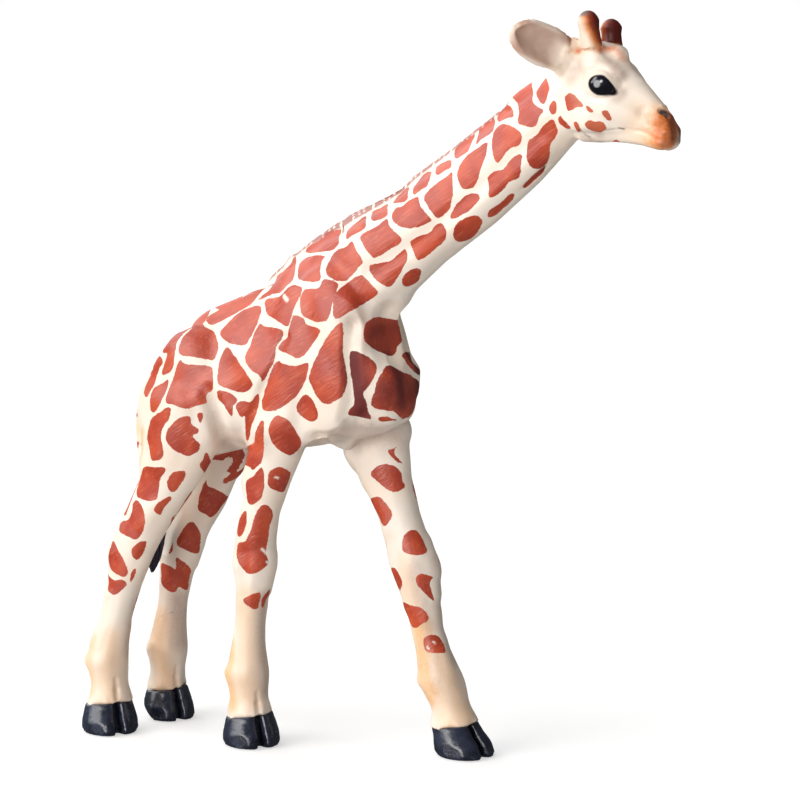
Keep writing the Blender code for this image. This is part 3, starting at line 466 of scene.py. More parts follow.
neck_outlines = (
    ((340, 229), (341, 233), (339, 242), (335, 248), (328, 251), (313, 253), (306, 252), (308, 247),
     (318, 241), (326, 233)),
    ((366, 216), (366, 225), (361, 231), (352, 236), (347, 240), (346, 236), (349, 229), (357, 222)),
    ((388, 204), (388, 213), (383, 218), (373, 221), (371, 217), (372, 212), (380, 208)),
    ((352, 241), (356, 250), (363, 261), (360, 266), (351, 276), (345, 281), (336, 280), (327, 275),
     (326, 268), (331, 258), (338, 250), (346, 247)),
    ((387, 219), (389, 225), (394, 231), (401, 238), (399, 244), (390, 249), (375, 258), (370, 254),
     (363, 245), (360, 238), (364, 233), (374, 228), (381, 223)),
    ((409, 187), (408, 197), (403, 202), (393, 203), (396, 198), (402, 192)),
    ((418, 197), (420, 205), (425, 212), (432, 220), (427, 223), (414, 228), (401, 227), (393, 221),
     (392, 214), (396, 208), (403, 206), (410, 200)),
    ((414, 195), (421, 190), (427, 186), (430, 177), (431, 172), (424, 174), (416, 184), (413, 190)),
    ((437, 175), (445, 171), (451, 167), (451, 160), (444, 162), (436, 168)),
    ((452, 172), (453, 181), (453, 192), (451, 205), (446, 213), (439, 218), (433, 214), (427, 205),
     (424, 198), (428, 191), (437, 183), (445, 178)),
    ((369, 266), (380, 263), (391, 260), (399, 253), (405, 249), (407, 259), (402, 270), (396, 280),
     (390, 287), (383, 285), (374, 278)),
    ((441, 223), (446, 230), (445, 239), (438, 247), (430, 254), (422, 259), (417, 259), (413, 250),
     (410, 242), (416, 237), (428, 233), (435, 226)),
    ((451, 219), (452, 211), (460, 200), (469, 194), (478, 194), (479, 200), (471, 209), (460, 216)),
    ((453, 236), (454, 227), (463, 219), (474, 215), (481, 219), (481, 226), (474, 236), (465, 241),
     (456, 241)),
    ((402, 282), (404, 275), (412, 269), (420, 269), (421, 273), (418, 281), (410, 286), (404, 286)),
    ((459, 182), (457, 174), (461, 163), (469, 154), (479, 147), (487, 143), (486, 154), (481, 168),
     (478, 180), (472, 188), (463, 189)),
    ((456, 159), (463, 155), (469, 150), (472, 142), (475, 134), (468, 138), (458, 146), (454, 153)),
    ((476, 144), (482, 139), (490, 134), (494, 129), (494, 118), (487, 122), (479, 130)),
    ((497, 118), (499, 122), (505, 119), (513, 117), (513, 111), (508, 105), (502, 110)),
    ((513, 97), (518, 104), (519, 113), (518, 121), (521, 125), (534, 127), (539, 118), (544, 110),
     (538, 107), (533, 101), (533, 90), (532, 82), (524, 86)),
    ((546, 78), (549, 85), (548, 95), (544, 104), (539, 101), (536, 93), (540, 86)),
    ((554, 100), (557, 106), (555, 113), (551, 113), (549, 107)),
    ((552, 120), (556, 125), (558, 131), (556, 137), (551, 143), (550, 151), (549, 158), (545, 165),
     (538, 169), (532, 167), (527, 160), (527, 148), (529, 140), (538, 133), (544, 125)),
    ((560, 115), (563, 119), (571, 127), (568, 129), (561, 125), (558, 120)),
    ((503, 124), (511, 126), (519, 131), (522, 138), (519, 145), (509, 149), (504, 156), (498, 163),
     (494, 159), (492, 148), (493, 135), (497, 127)),
    ((489, 197), (489, 186), (488, 178), (494, 171), (503, 169), (510, 160), (521, 154), (521, 166),
     (519, 177), (510, 182), (503, 190), (495, 196)),
    ((488, 216), (490, 210), (500, 203), (509, 195), (514, 194), (513, 199), (505, 207), (494, 216)),
    ((523, 186), (531, 177), (543, 167), (545, 170), (534, 181), (526, 188)),
)
head_outlines = (
    ((565, 100), (566, 96), (571, 93), (576, 96), (580, 101), (583, 106), (577, 107), (573, 110),
     (568, 110)),
    ((586, 106), (590, 107), (594, 111), (592, 113), (588, 111)),
    ((602, 112), (606, 110), (609, 112), (612, 119), (609, 121), (606, 119)),
    ((586, 121), (590, 119), (596, 121), (601, 121), (606, 125), (606, 129), (601, 132), (594, 130),
     (587, 126)),
    ((574, 124), (576, 121), (579, 124), (581, 130), (579, 132), (576, 129)),
    ((611, 138), (615, 136), (620, 138), (619, 141), (613, 140)),
)
leg_outlines = {
    "hind_right": (
        ((144, 467), (152, 467), (163, 467), (165, 471), (160, 480), (159, 489), (156, 499), (147, 501),
         (137, 496), (138, 486), (141, 475)),
        ((184, 471), (185, 476), (180, 485), (174, 492), (169, 490), (167, 482), (172, 473)),
        ((136, 481), (137, 486), (130, 504), (126, 515), (121, 517), (124, 506), (131, 490)),
        ((170, 496), (171, 500), (164, 508), (160, 515), (154, 510), (157, 504), (163, 499)),
        ((136, 500), (141, 505), (144, 512), (145, 523), (142, 534), (135, 540), (129, 537), (121, 533),
         (119, 528), (121, 522), (128, 520), (132, 512), (133, 504)),
        ((146, 541), (145, 548), (142, 556), (137, 560), (132, 555), (132, 548), (138, 543)),
        ((113, 541), (117, 547), (122, 557), (128, 571), (125, 577), (118, 575), (111, 569), (108, 561),
         (110, 549)),
        ((108, 573), (114, 580), (122, 580), (127, 584), (122, 590), (114, 595), (108, 590), (107, 581)),
        ((136, 568), (135, 574), (131, 583), (130, 577), (133, 570)),
    ),
    "hind_left": (
        ((206, 453), (210, 459), (211, 466), (207, 471), (203, 471), (200, 465), (203, 459)),
        ((220, 468), (226, 465), (240, 467), (246, 470), (244, 478), (236, 488), (229, 482), (223, 475)),
        ((190, 478), (192, 489), (192, 502), (187, 509), (181, 509), (180, 499), (184, 487)),
        ((206, 480), (208, 486), (216, 489), (228, 496), (222, 506), (212, 517), (206, 514), (198, 509),
         (200, 494)),
        ((192, 522), (197, 526), (201, 535), (200, 543), (198, 553), (188, 551), (177, 544), (180, 533),
         (186, 525)),
        ((168, 522), (171, 528), (173, 541), (172, 552), (167, 554), (162, 550), (161, 540), (164, 528)),
        ((162, 563), (170, 566), (176, 569), (176, 558), (182, 561), (191, 568), (189, 580), (187, 590),
         (179, 587), (175, 592), (168, 591), (162, 585), (161, 573)),
    ),
    "fore_right": (
        ((247, 480), (254, 476), (261, 467), (264, 474), (264, 487), (261, 498), (252, 505), (247, 500),
         (246, 489)),
        ((268, 476), (272, 470), (280, 467), (290, 472), (289, 480), (284, 491), (277, 491), (269, 486)),
        ((245, 511), (247, 516), (246, 526), (240, 537), (237, 532), (239, 521)),
        ((263, 505), (270, 507), (273, 515), (270, 526), (268, 541), (266, 553), (268, 563), (260, 571),
         (249, 574), (241, 567), (237, 556), (238, 543), (245, 541), (251, 529), (257, 511)),
        ((243, 600), (250, 595), (260, 593), (259, 604), (256, 609), (249, 606)),
        ((270, 589), (267, 598), (263, 608), (261, 603), (265, 594)),
    ),
    "fore_left": (
        ((388, 450), (393, 449), (397, 446), (394, 453), (399, 459), (403, 464), (396, 461), (390, 455)),
        ((371, 474), (376, 467), (385, 464), (394, 466), (401, 472), (402, 480), (405, 487), (396, 492),
         (386, 489), (377, 481)),
        ((369, 500), (379, 497), (385, 502), (392, 513), (389, 522), (384, 526), (378, 515)),
        ((402, 544), (405, 535), (413, 530), (420, 534), (424, 542), (427, 552), (417, 555), (404, 552)),
        ((390, 570), (395, 568), (401, 577), (402, 584), (399, 591), (394, 582)),
        ((416, 578), (421, 574), (433, 577), (430, 584), (434, 601), (424, 592), (417, 585)),
        ((402, 603), (410, 605), (421, 608), (429, 618), (421, 625), (413, 628), (407, 618)),
        ((424, 638), (431, 634), (440, 638), (445, 648), (443, 653), (428, 652), (424, 645)),
    ),
}
bare_outlines = (
    # where the photograph shows cream, so that no patch of the far side reaches over
    ((204, 446), (222, 440), (246, 442), (252, 462), (238, 463), (222, 462), (213, 472), (206, 478)),
    ((434, 600), (441, 597), (446, 606), (444, 622), (438, 620)),
)
print("patches drawn:", len(trunk_outlines) + len(neck_outlines) + len(head_outlines)
      + sum(len(outlines) for outlines in leg_outlines.values()))

# %% [markdown]
# The sculptor's strokes come next. A stroke is a path of a few points, in pixels of the photograph,
# that rays from the camera put on the skin. Along it, the skin is raised into a muscle or pressed into
# a fold, most at the path and fading to nothing at the stroke's width. A stroke on the trunk, the neck
# or the head is made on both flanks, as the two halves of the real mould are near twins.

# %% Rays from the camera to the skin
WRAP_SHARE = 1.1


def ray_of(pixel):
    x = pixel[0] - PICTURE_PIXELS / 2
    y = PICTURE_PIXELS / 2 - pixel[1]
    return (view_right * x + view_up * y - view_back * FOCAL_PIXELS).normalized()


def land(pixel, tree):
    """Where a pixel's ray meets the skin, or how far round the silhouette it is wrapped."""
    ray = ray_of(pixel)
    place, normal, _, _ = tree.ray_cast(view_eye, ray)
    if place is None:
        near = view_eye + ray * VIEW_DISTANCE
        for _ in range(4):
            touch, _, _, gap = tree.find_nearest(near)
            near = view_eye + ray * (touch - view_eye).dot(ray)
        place, normal, _, _ = tree.find_nearest(touch + ray * (gap * WRAP_SHARE))
    return place, normal


def mirrored(place, tree):
    return tree.find_nearest(Vector((place.x, -place.y, place.z)))[0]


# %% Strokes along a path
TRUNK_STROKES = (
    # height and width in mm, then the path
    (0.35, 6.0, ((318, 300), (328, 335), (322, 380))),
    (-0.95, 3.0, ((353, 326), (350, 350), (352, 378), (351, 402), (346, 420))),
    (0.35, 5.5, ((384, 366), (388, 394))),
    (-0.60, 4.5, ((352, 322), (368, 312), (386, 306))),
    (0.45, 4.0, ((378, 330), (388, 340))),
    (0.30, 7.0, ((172, 342), (186, 362), (184, 388))),
    (0.50, 5.5, ((180, 400), (172, 430), (158, 462))),
    (-0.80, 3.4, ((208, 392), (216, 412), (222, 432), (232, 448))),
    (0.40, 2.8, ((197, 398), (205, 418), (208, 438))),
    (-0.70, 6.0, ((212, 352), (228, 372), (238, 392))),
    (0.55, 5.0, ((232, 418), (258, 428), (284, 424))),
    (-0.70, 2.2, ((250, 438), (252, 418), (262, 392), (274, 366), (284, 338))),
    (-0.60, 2.6, ((252, 446), (246, 452))),
    (-0.45, 2.0, ((318, 438), (334, 432), (346, 424))),
    (-0.35, 5.0, ((262, 330), (246, 342))),
    (0.50, 2.4, ((152, 366), (170, 344), (190, 326), (214, 308), (240, 298), (268, 282), (292, 258))),
)
NECK_STROKES = (
    (0.50, 4.0, ((545, 150), (500, 190), (460, 226), (420, 262), (380, 292))),
    (-0.40, 3.0, ((548, 128), (505, 166), (462, 204), (420, 240), (370, 272))),
    (0.35, 4.0, ((530, 108), (490, 146), (450, 180), (400, 222), (350, 256))),
    (-0.30, 1.1, ((524, 187), (534, 178), (546, 166))),
    (-0.50, 5.0, ((506, 103), (450, 147), (400, 185), (350, 220), (322, 238))),
    (-0.75, 6.0, ((396, 187), (370, 206), (346, 220))),
    (0.70, 3.0, ((514, 98), (528, 88), (538, 80))),
    (-1.90, 5.2, ((407, 316), (413, 332), (418, 350))),
    (0.95, 4.0, ((408, 404), (414, 420), (408, 430))),
    (0.60, 4.0, ((196, 316), (214, 305), (234, 298), (250, 292))),
    (-0.45, 3.5, ((162, 350), (170, 338))),
)
ONE_SIDED_STROKES = (
    # on the side of the photograph only
    (1.20, 5.0, ((240, 466), (238, 480))),
    (1.70, 4.4, ((337, 442), (345, 456), (350, 466))),
    (0.60, 4.0, ((350, 466), (358, 486))),
    (0.60, 4.0, ((384, 545), (392, 575), (402, 605))),
    (0.55, 3.5, ((434, 540), (441, 568))),
    (-1.50, 4.5, ((400, 315), (405, 325), (409, 336), (413, 348))),
    (-0.80, 3.0, ((153, 655), (153, 680), (151, 700))),
    (-0.90, 3.0, ((186, 662), (187, 682), (188, 698))),
    (0.80, 4.0, ((351, 458), (360, 474), (369, 492), (378, 510), (385, 528))),
    (0.50, 4.0, ((128, 632), (128, 668), (132, 695))),
    (0.85, 4.5, ((137, 466), (122, 512), (110, 548))),
    (0.60, 4.0, ((104, 595), (94, 640))),
    (0.55, 4.0, ((240, 515), (235, 565))),
    (0.45, 3.5, ((228, 675), (228, 702))),
    (-0.40, 3.5, ((452, 650), (462, 682))),
    (0.35, 3.0, ((421, 684), (428, 698))),
    (-1.60, 4.5, ((318, 444), (326, 443), (336, 441))),
)


def distance_to_path(points, path):
    best = np.full(len(points), np.inf)
    for one, two in zip(path, path[1:]):
        span = two - one
        share = np.clip((points - one) @ span / (span @ span), 0.0, 1.0)
        gap = np.linalg.norm(points - one - share[:, None] * span, axis=1)
        best = np.minimum(best, gap)
    return best


def nearness(points, path, width):
    """One on a path, and nothing beyond its width."""
    low = path.min(axis=0) - width
    high = path.max(axis=0) + width
    near = np.nonzero(((points > low) & (points < high)).all(axis=1))[0]
    share = distance_to_path(points[near], path) / width
    return near, np.clip(1.0 - share**2, 0.0, 1.0) ** 2


def paths_on(pixels, tree, both_sides):
    places = [land(pixel, tree)[0] for pixel in pixels]
    paths = [np.array(places)]
    if both_sides:
        paths.append(np.array([mirrored(place, tree) for place in places]))
    return paths


def sculpt(thing, strokes, tree, both_sides):
    points, normals = points_of(thing), normals_of(thing)
    shift = np.zeros(len(points))
    for height, width, pixels in strokes:
        deepest = np.zeros(len(points))
        for path in paths_on(pixels, tree, both_sides):
            near, share = nearness(points, path, width * MM)
            deepest[near] = np.maximum(deepest[near], share)
        shift += deepest * height * MM
    set_points(thing, points + normals * shift[:, None])


sculpt(body, TRUNK_STROKES + NECK_STROKES, tree_of(body), True)
sculpt(body, ONE_SIDED_STROKES, tree_of(body), False)
print("strokes on trunk and neck:", len(TRUNK_STROKES + NECK_STROKES + ONE_SIDED_STROKES))

# %% [markdown]
# On the legs, the strokes follow the bones: a place is a height and a bearing round the leg's middle,
# with nought at the front and a quarter turn at the outer side. The same strokes then serve all four
# legs, with the fetlock's knobs behind, the tendon's groove at each side, the swollen coronet round
# the top of the hoof, and the knee or the hock.

# %% Middles of the legs
LEG_LEVELS = 24
LEVELS_FROM = 2 * MM
LEVELS_BELOW = 1.5 * MM


def measure_leg(name, points):
    """Returns a function that gives the middle of a leg at a height."""
    low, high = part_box(name + "_lower_leg")
    box_low, box_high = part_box(name + "_upper_leg")
    levels = np.linspace(low.z + LEVELS_FROM, box_high.z - LEVELS_BELOW, LEG_LEVELS)
    inside = np.ones(len(points), bool)
    for axis in (0, 1):
        inside &= points[:, axis] > min(low[axis], box_low[axis]) - MM
        inside &= points[:, axis] < max(high[axis], box_high[axis]) + MM
    own = points[inside]
    middles = []
    for level in levels:
        ring = own[np.abs(own[:, 2] - level) < MM]
        middles.append((ring.min(axis=0) + ring.max(axis=0)) / 2)
    middles = np.array(middles)

    def middle_at(height):
        x, y = (np.interp(height, levels, middles[:, axis]) for axis in (0, 1))
        return Vector((x, y, height))

    return middle_at


leg_middles = {name: measure_leg(name, points_of(body)) for name in LEG_NAMES}
print("legs measured:", ", ".join(leg_middles))

# %% Strokes on the legs
TOE_TURNS = {"fore_right": -35, "hind_right": -35, "fore_left": -15, "hind_left": -30}
TOE_STROKES = (
    # as below, but with bearings from the toe's cleft, and left out on the legs in NO_CLEFT
    (-0.50, 1.2, ((7.2, 0), (9.0, 0), (11.0, 0))),
    (-0.30, 0.9, ((11.0, 0), (13.5, 2))),
    (-0.30, 1.0, ((8.5, 180), (11.0, 180))),
)
NO_CLEFT = ("fore_left",)
NO_FLARE = ("hind_left",)
SHIN_RADIUS = 4 * MM
CORONET_TOP = 9.8 * MM
CORONET_MIDDLE = 8 * MM
CORONET_DEPTH = 2.4 * MM
CORONET_REACH = 9 * MM
CORONET_FLARE = 0.10
CORONET_DROP = 0.7 * MM
BOTH_LEGS = (
    # height and width in mm, then heights above the floor in mm with bearings in degrees
    (0.35, 2.6, ((17.6, 150), (17.0, 158))),
    (0.35, 2.6, ((17.6, 210), (17.0, 202))),
    (-0.30, 1.8, ((21, 122), (27, 118), (33, 115))),
    (-0.30, 1.8, ((21, 238), (27, 242), (33, 245))),
    (0.18, 3.0, ((18.5, 60), (17.5, 90), (17, 120))),
    (0.18, 3.0, ((18.5, 300), (17.5, 270), (17, 240))),
)
FORE_LEGS = (
    (0.45, 3.4, ((39, 0), (44, 0), (47, 0))),
    (-0.15, 2.2, ((36.5, 40), (36.0, 0), (36.5, 320))),
    (-0.28, 2.2, ((38, 100), (43, 95), (48, 100))),
    (0.30, 2.2, ((41, 180), (44, 180))),
    (0.45, 3.5, ((57, 90), (52, 85))),
)
HIND_LEGS = (
    (0.45, 2.2, ((43, 180), (47, 180), (50, 180))),
    (-0.50, 2.1, ((44, 128), (49, 130), (54, 134))),
    (-0.50, 2.1, ((44, 232), (49, 230), (54, 226))),
    (0.35, 2.8, ((40, 20), (44, 10))),
    (0.40, 3.4, ((58, 70), (54, 75))),
)


def leg_path(rows, name, tree, from_toe=False):
    side = 1.0 if "left" in name or from_toe else -1.0
    start = TOE_TURNS[name] if from_toe else 0.0
    places = []
    for height, bearing in rows:
        middle = leg_middles[name](height * MM)
        turn = math.radians(start + bearing)
        outward = Vector((math.cos(turn), side * math.sin(turn), 0.0))
        touch, _, _, _ = tree.ray_cast(middle, outward)
        places.append(touch if touch else tree.find_nearest(middle + outward * SHIN_RADIUS)[0])
    return np.array(places)


def sculpt_legs(thing):
    tree = tree_of(thing)
    points, normals = points_of(thing), normals_of(thing)
    shift = np.zeros(len(points))
    for name in LEG_NAMES:
        strokes = BOTH_LEGS + (FORE_LEGS if "fore" in name else HIND_LEGS)
        toes = () if name in NO_CLEFT else TOE_STROKES
        for stroke in strokes + toes:
            height, width, rows = stroke
            path = leg_path(rows, name, tree, stroke in TOE_STROKES)
            near, share = nearness(points, path, width * MM)
            shift[near] += share * height * MM
    points += normals * shift[:, None]
    for name in LEG_NAMES:
        middle = np.array(leg_middles[name](CORONET_MIDDLE))
        share = np.clip((CORONET_TOP - points[:, 2]) / CORONET_DEPTH, 0.0, 1.0) ** 2
        share *= np.hypot(*(points - middle)[:, :2].T) < CORONET_REACH
        flare = 0.0 if name in NO_FLARE else CORONET_FLARE
        points[:, :2] += (points - middle)[:, :2] * share[:, None] * flare
        points[:, 2] -= share * CORONET_DROP
    set_points(thing, points)


sculpt_legs(body)
print("strokes on the legs:", len(BOTH_LEGS), "and", len(FORE_LEGS), "or", len(HIND_LEGS))

# %% [markdown]
# The mane is a low crest from behind the ears down to the withers, and a faint one goes on along the
# back. Its hair is modelled as short tufts that lean back, one behind the other.

# %% Mane
CREST_PIXELS = ((548, 72), (500, 108), (450, 147), (400, 185), (350, 220), (300, 252), (272, 281),
                (240, 300))
CREST_HEIGHT = 0.15 * MM
CREST_WIDTH = 1.9 * MM
TUFT_SPACING = 2.3 * MM
TUFT_DIP = 0.55
TUFT_UNEVENNESS = 0.35
TUFT_SLANT = 0.3
BACK_SHARE = 0.35
BACK_FADE_FROM = -28 * MM
BACK_FADE = 12 * MM


def on_middle(pixel):
    """Where a pixel's ray crosses the plane that halves the animal."""
    ray = ray_of(pixel)
    return view_eye - ray * (view_eye.y / ray.y)


def crest_of(thing):
    """How near each point is to the crest, and how far along it, in tufts."""
    points, tree = points_of(thing), tree_of(thing)
    path = np.array([tree.find_nearest(on_middle(pixel))[0] for pixel in CREST_PIXELS])
    path[:, 1] = 0.0
    near, share = nearness(points, path, CREST_WIDTH)
    crest = np.zeros(len(points))
    crest[near] = share
    reach = np.linalg.norm(points - path[0], axis=1) / TUFT_SPACING
    uneven = TUFT_UNEVENNESS * np.sin(reach * 1.7)
    return crest, reach + uneven + TUFT_SLANT * points[:, 1] / CREST_WIDTH


def raise_mane(thing):
    crest, tufts = crest_of(thing)
    points, normals = points_of(thing), normals_of(thing)
    lean = 1.0 - (tufts - np.floor(tufts))
    on_back = np.clip((points[:, 0] - BACK_FADE_FROM) / BACK_FADE, BACK_SHARE, 1.0)
    shift = crest * (1.0 - TUFT_DIP + TUFT_DIP * lean) * on_back * CREST_HEIGHT
    set_points(thing, points + normals * shift[:, None])


raise_mane(body)
whole_tree = tree_of(body)
print("crest raised by up to", CREST_HEIGHT / MM, "mm")

# %% [markdown]
# The head is where a customer looks first, so it comes from a finer shell that also holds the ears and
# the horns: that way they grow out of the skull in soft fillets, as the casting's do. Close to the
# throat, the fine shell is drawn onto the body's skin, so that the two meet without a step.

# %% Draw the fine shell onto the body at the throat
THROAT = Vector((48.1, 0.0, 156.8)) * MM
THROAT_FACING = Vector((math.cos(math.radians(27.0)), 0.0, math.sin(math.radians(27.0))))
THROAT_BLEND = 3.5 * MM


def draw_onto(thing, tree):
    points = points_of(thing)
    ahead = (points - np.array(THROAT)) @ np.array(THROAT_FACING)
    share = np.clip(1.0 - ahead / THROAT_BLEND, 0.0, 1.0)
    share = share * share * (3.0 - 2.0 * share)
    for i in np.nonzero((share > 0) & (ahead > -THROAT_BLEND))[0]:
        touch, _, _, gap = tree.find_nearest(Vector(points[i]))
        if gap < MM:
            points[i] += (np.array(touch) - points[i]) * share[i]
    set_points(thing, points)


def cut_away(thing, place, normal):
    """Takes away what lies behind a plane, and closes the cut flat."""
    pick(thing)
    bpy.ops.object.mode_set(mode="EDIT")
    bpy.ops.mesh.select_all(action="SELECT")
    bpy.ops.mesh.bisect(plane_co=place, plane_no=normal, use_fill=True, clear_inner=True)
    bpy.ops.object.mode_set(mode="OBJECT")


cut_away(fine_head, THROAT - THROAT_FACING * 2 * MM, THROAT_FACING)
draw_onto(fine_head, tree_of(body))
print("fine head faces:", len(fine_head.data.polygons))

# %% Strokes on the head
HEAD_STROKES = (
    (0.35, 2.8, ((606, 70), (616, 66), (622, 70))),
    (-0.25, 1.8, ((612, 77), (620, 83))),
    (0.25, 3.0, ((596, 106), (612, 112), (626, 116))),
    (-0.18, 2.6, ((628, 98), (642, 108))),
    (0.15, 2.0, ((634, 84), (648, 96), (660, 106))),
    (0.30, 3.2, ((588, 122), (600, 128))),
    (-0.14, 0.7, ((603, 131), (614, 130), (626, 129), (640, 131), (654, 137), (668, 141), (679, 139))),
    (0.12, 1.6, ((650, 126), (660, 131), (669, 133))),
    (0.18, 0.9, ((662, 107), (669, 110), (673, 116))),
    (-0.80, 1.0, ((661, 111), (664, 113), (668, 116))),
    (-0.45, 2.4, ((672, 104), (680, 118))),
    (0.20, 1.8, ((679, 141), (680, 144))),
    (0.40, 2.6, ((628, 54), (634, 66), (640, 76))),
    (1.00, 2.8, ((584, 137), (600, 138), (620, 138), (640, 140), (658, 144))),
    (0.15, 2.4, ((650, 121), (655, 122))),
    (0.40, 2.2, ((618, 49), (626, 54))),
    (-0.30, 1.8, ((604, 52), (612, 56))),
    (-0.25, 1.4, ((574, 58), (566, 68), (556, 76))),
    (-0.25, 1.0, ((581, 131), (586, 135), (592, 137))),
    (0.30, 3.4, ((566, 90), (576, 110), (586, 124))),
)
sculpt(fine_head, HEAD_STROKES, tree_of(fine_head), True)
print("strokes on the head:", len(HEAD_STROKES))

# %% [markdown]
# The eye of the real toy is a glossy painted dome in an almond of lids. The skin round it is worked in
# the eye's own frame: inside the almond it goes under the dome, and at its rim it stands just proud of
# the dome as a lid. The front corner runs out into a tear duct, which is a shallow dark pit.

# %% Eyelids round a dome
EYE_MIDDLE = Vector((60.5, 5.85, 162.4)) * MM
HEAD_AXIS = Vector((0.951, 0.0, -0.309))
DOME_REACH = 3.3 * MM
DOME_RISE = 2.25 * MM
LID_BEHIND = 2.85 * MM
LID_AHEAD = 3.75 * MM
LID_HALF_HEIGHT = 2.20 * MM
LID_NARROWING = 0.45
LID_SWEEP = 0.55 * MM
LID_PROUD = 0.34 * MM
LID_ROLL = 0.9 * MM
LID_EDGE = 0.30 * MM
UNDER_DOME = 0.6 * MM
FOLD_DEPTH = 0.20 * MM
FOLD_PLACE = 1.15 * MM
FOLD_WIDTH = 0.32 * MM
FOLD_END = 2.2 * MM
SOCKET_REACH = 4.6 * MM
EYE_AREA = 5.6 * MM


def eye_frame(side):
    middle = Vector((EYE_MIDDLE.x, EYE_MIDDLE.y * side, EYE_MIDDLE.z))
    out = Vector((0.316, side, 0.002)).normalized()
    ahead = (HEAD_AXIS - out * HEAD_AXIS.dot(out)).normalized()
    up = out.cross(ahead) * side * -1.0
    return middle, ahead, up, out


def eye_places(points, side):
    """Places in an eye's own frame: ahead, up and out, and how far outside the almond they are."""
    middle, ahead, up, out = eye_frame(side)
    away = points - np.array(middle)
    u, v, w = away @ np.array(ahead), away @ np.array(up), away @ np.array(out)
    half_length = np.where(u > 0, LID_AHEAD, LID_BEHIND)
    forward = np.clip(u / LID_AHEAD, 0.0, 1.0)
    half_height = LID_HALF_HEIGHT * (1.0 - LID_NARROWING * forward)
    v = v + LID_SWEEP * forward**1.5
    rim = (np.sqrt((u / half_length) ** 2 + (v / half_height) ** 2) - 1.0) * half_height
    return u, v, w, rim


def dome_at(u, v):
    return DOME_RISE * np.sqrt(np.clip(1.0 - (u * u + v * v) / DOME_REACH**2, 0.0, 1.0))


def shape_lids(thing):
    points = points_of(thing)
    for side in (-1.0, 1.0):
        out = eye_frame(side)[3]
        u, v, w, rim = eye_places(points, side)
        reach = np.hypot(u, v)
        near = (reach < EYE_AREA) & (w > -1.5 * MM)
        dome = dome_at(u, v)
        socket = DOME_RISE * np.clip(1.0 - (reach / SOCKET_REACH) ** 2, 0.0, 1.0) ** 1.25
        lid = np.maximum(dome, socket) + LID_PROUD * (0.3 + 0.7 * np.exp(-((rim / LID_ROLL) ** 2)))
        covered = np.where((lid > 0.35 * LID_PROUD) & (reach < SOCKET_REACH), np.maximum(w, lid), w)
        fold = FOLD_DEPTH * np.exp(-(((rim - FOLD_PLACE) / FOLD_WIDTH) ** 2)) * (v > 0) * (u < FOLD_END)
        inside = np.clip(-rim / LID_EDGE, 0.0, 1.0)
        target = (covered - fold) * (1.0 - inside) + (dome - UNDER_DOME) * inside
        points += np.where(near, target - w, 0.0)[:, None] * np.array(out)
    set_points(thing, points)


shape_lids(fine_head)
print("eye opening in mm:", (LID_BEHIND + LID_AHEAD) / MM, "by", 2 * LID_HALF_HEIGHT / MM)

# %% [markdown]
# The far side isn't in the photograph. Its patches are the near ones mirrored and moved a little, so
# that the two sides differ. On a leg, a patch is carried over to nearly the same height on the other
# leg of the pair, so that the inner sides are painted too.

# %% A patch of paint
CURVE_STEPS = 4
COAT_MARGIN = 2.0 * MM
TURNED_AWAY = -0.05


def closed_curve(points):
    """A smooth closed curve through points, as a finer ring of points."""
    ring = []
    count = len(points)
    for i in range(count):
        a, b, c, d = (points[(i + k) % count] for k in (-1, 0, 1, 2))
        for step in range(CURVE_STEPS):
            t = step / CURVE_STEPS
            ring.append(0.5 * (2 * b + (c - a) * t + (2 * a - 5 * b + 4 * c - d) * t**2
                               + (3 * b - a - 3 * c + d) * t**3))
    return ring


class Patch:
    """A patch of paint: its outline, laid flat in its own plane."""

    def __init__(self, landed, limit):
        self.places = [place for place, _ in landed]
        self.centre = sum(self.places, Vector()) / len(landed)
        self.facing = sum((normal for _, normal in landed), Vector()).normalized()
        self.across = self.facing.orthogonal().normalized()
        self.along = self.facing.cross(self.across)
        away = [place - self.centre for place in self.places]
        flat = [Vector((off.dot(self.across), off.dot(self.along))) for off in away]
        self.ring = np.array(closed_curve(flat))
        self.reach = float(np.linalg.norm(self.ring, axis=1).max())
        self.limit = limit

    def depth_at(self, points, normals):
        """How deep points of the skin lie inside the outline, or less than none outside it."""
        away = points - np.array(self.centre)
        x = away @ np.array(self.across)
        y = away @ np.array(self.along)
        z = away @ np.array(self.facing)
        near = (np.hypot(x, y) < self.reach + COAT_MARGIN) & (np.abs(z) < self.limit)
        near &= normals @ np.array(self.facing) > TURNED_AWAY
        index = np.nonzero(near)[0]
        px, py = x[index][:, None], y[index][:, None]
        ax, ay = self.ring[:, 0], self.ring[:, 1]
        bx, by = np.roll(ax, -1), np.roll(ay, -1)
        dx, dy = bx - ax, by - ay
        t = np.clip(((px - ax) * dx + (py - ay) * dy) / (dx * dx + dy * dy + 1e-18), 0, 1)
        gap = np.sqrt((px - ax - t * dx) ** 2 + (py - ay - t * dy) ** 2).min(axis=1)
        crosses = ((ay > py) != (by > py)) & (px < (bx - ax) * (py - ay) / (by - ay + 1e-18) + ax)
        inside = crosses.sum(axis=1) % 2 == 1
        return index, np.where(inside, gap, -gap)


# %% Lay the patches on both sides
TRUNK_LIMIT = 11 * MM
NECK_LIMIT = 8 * MM
LEG_LIMIT = 4.5 * MM
MIRROR_SHIFT = Vector((-1.2 * MM, 0.0, 0.8 * MM))
MIDLINE_REACH = 1.5 * MM
CARRY_DROP = 2.5 * MM


def lay_patches(outlines, tree, limit):
    return [Patch([land(pixel, tree) for pixel in outline], limit) for outline in outlines]


def mirrored_patch(patch, tree):
    landed = [tree.find_nearest(Vector((place.x, -place.y, place.z)) + MIRROR_SHIFT)[:2]
              for place in patch.places]
    return Patch(landed, patch.limit)


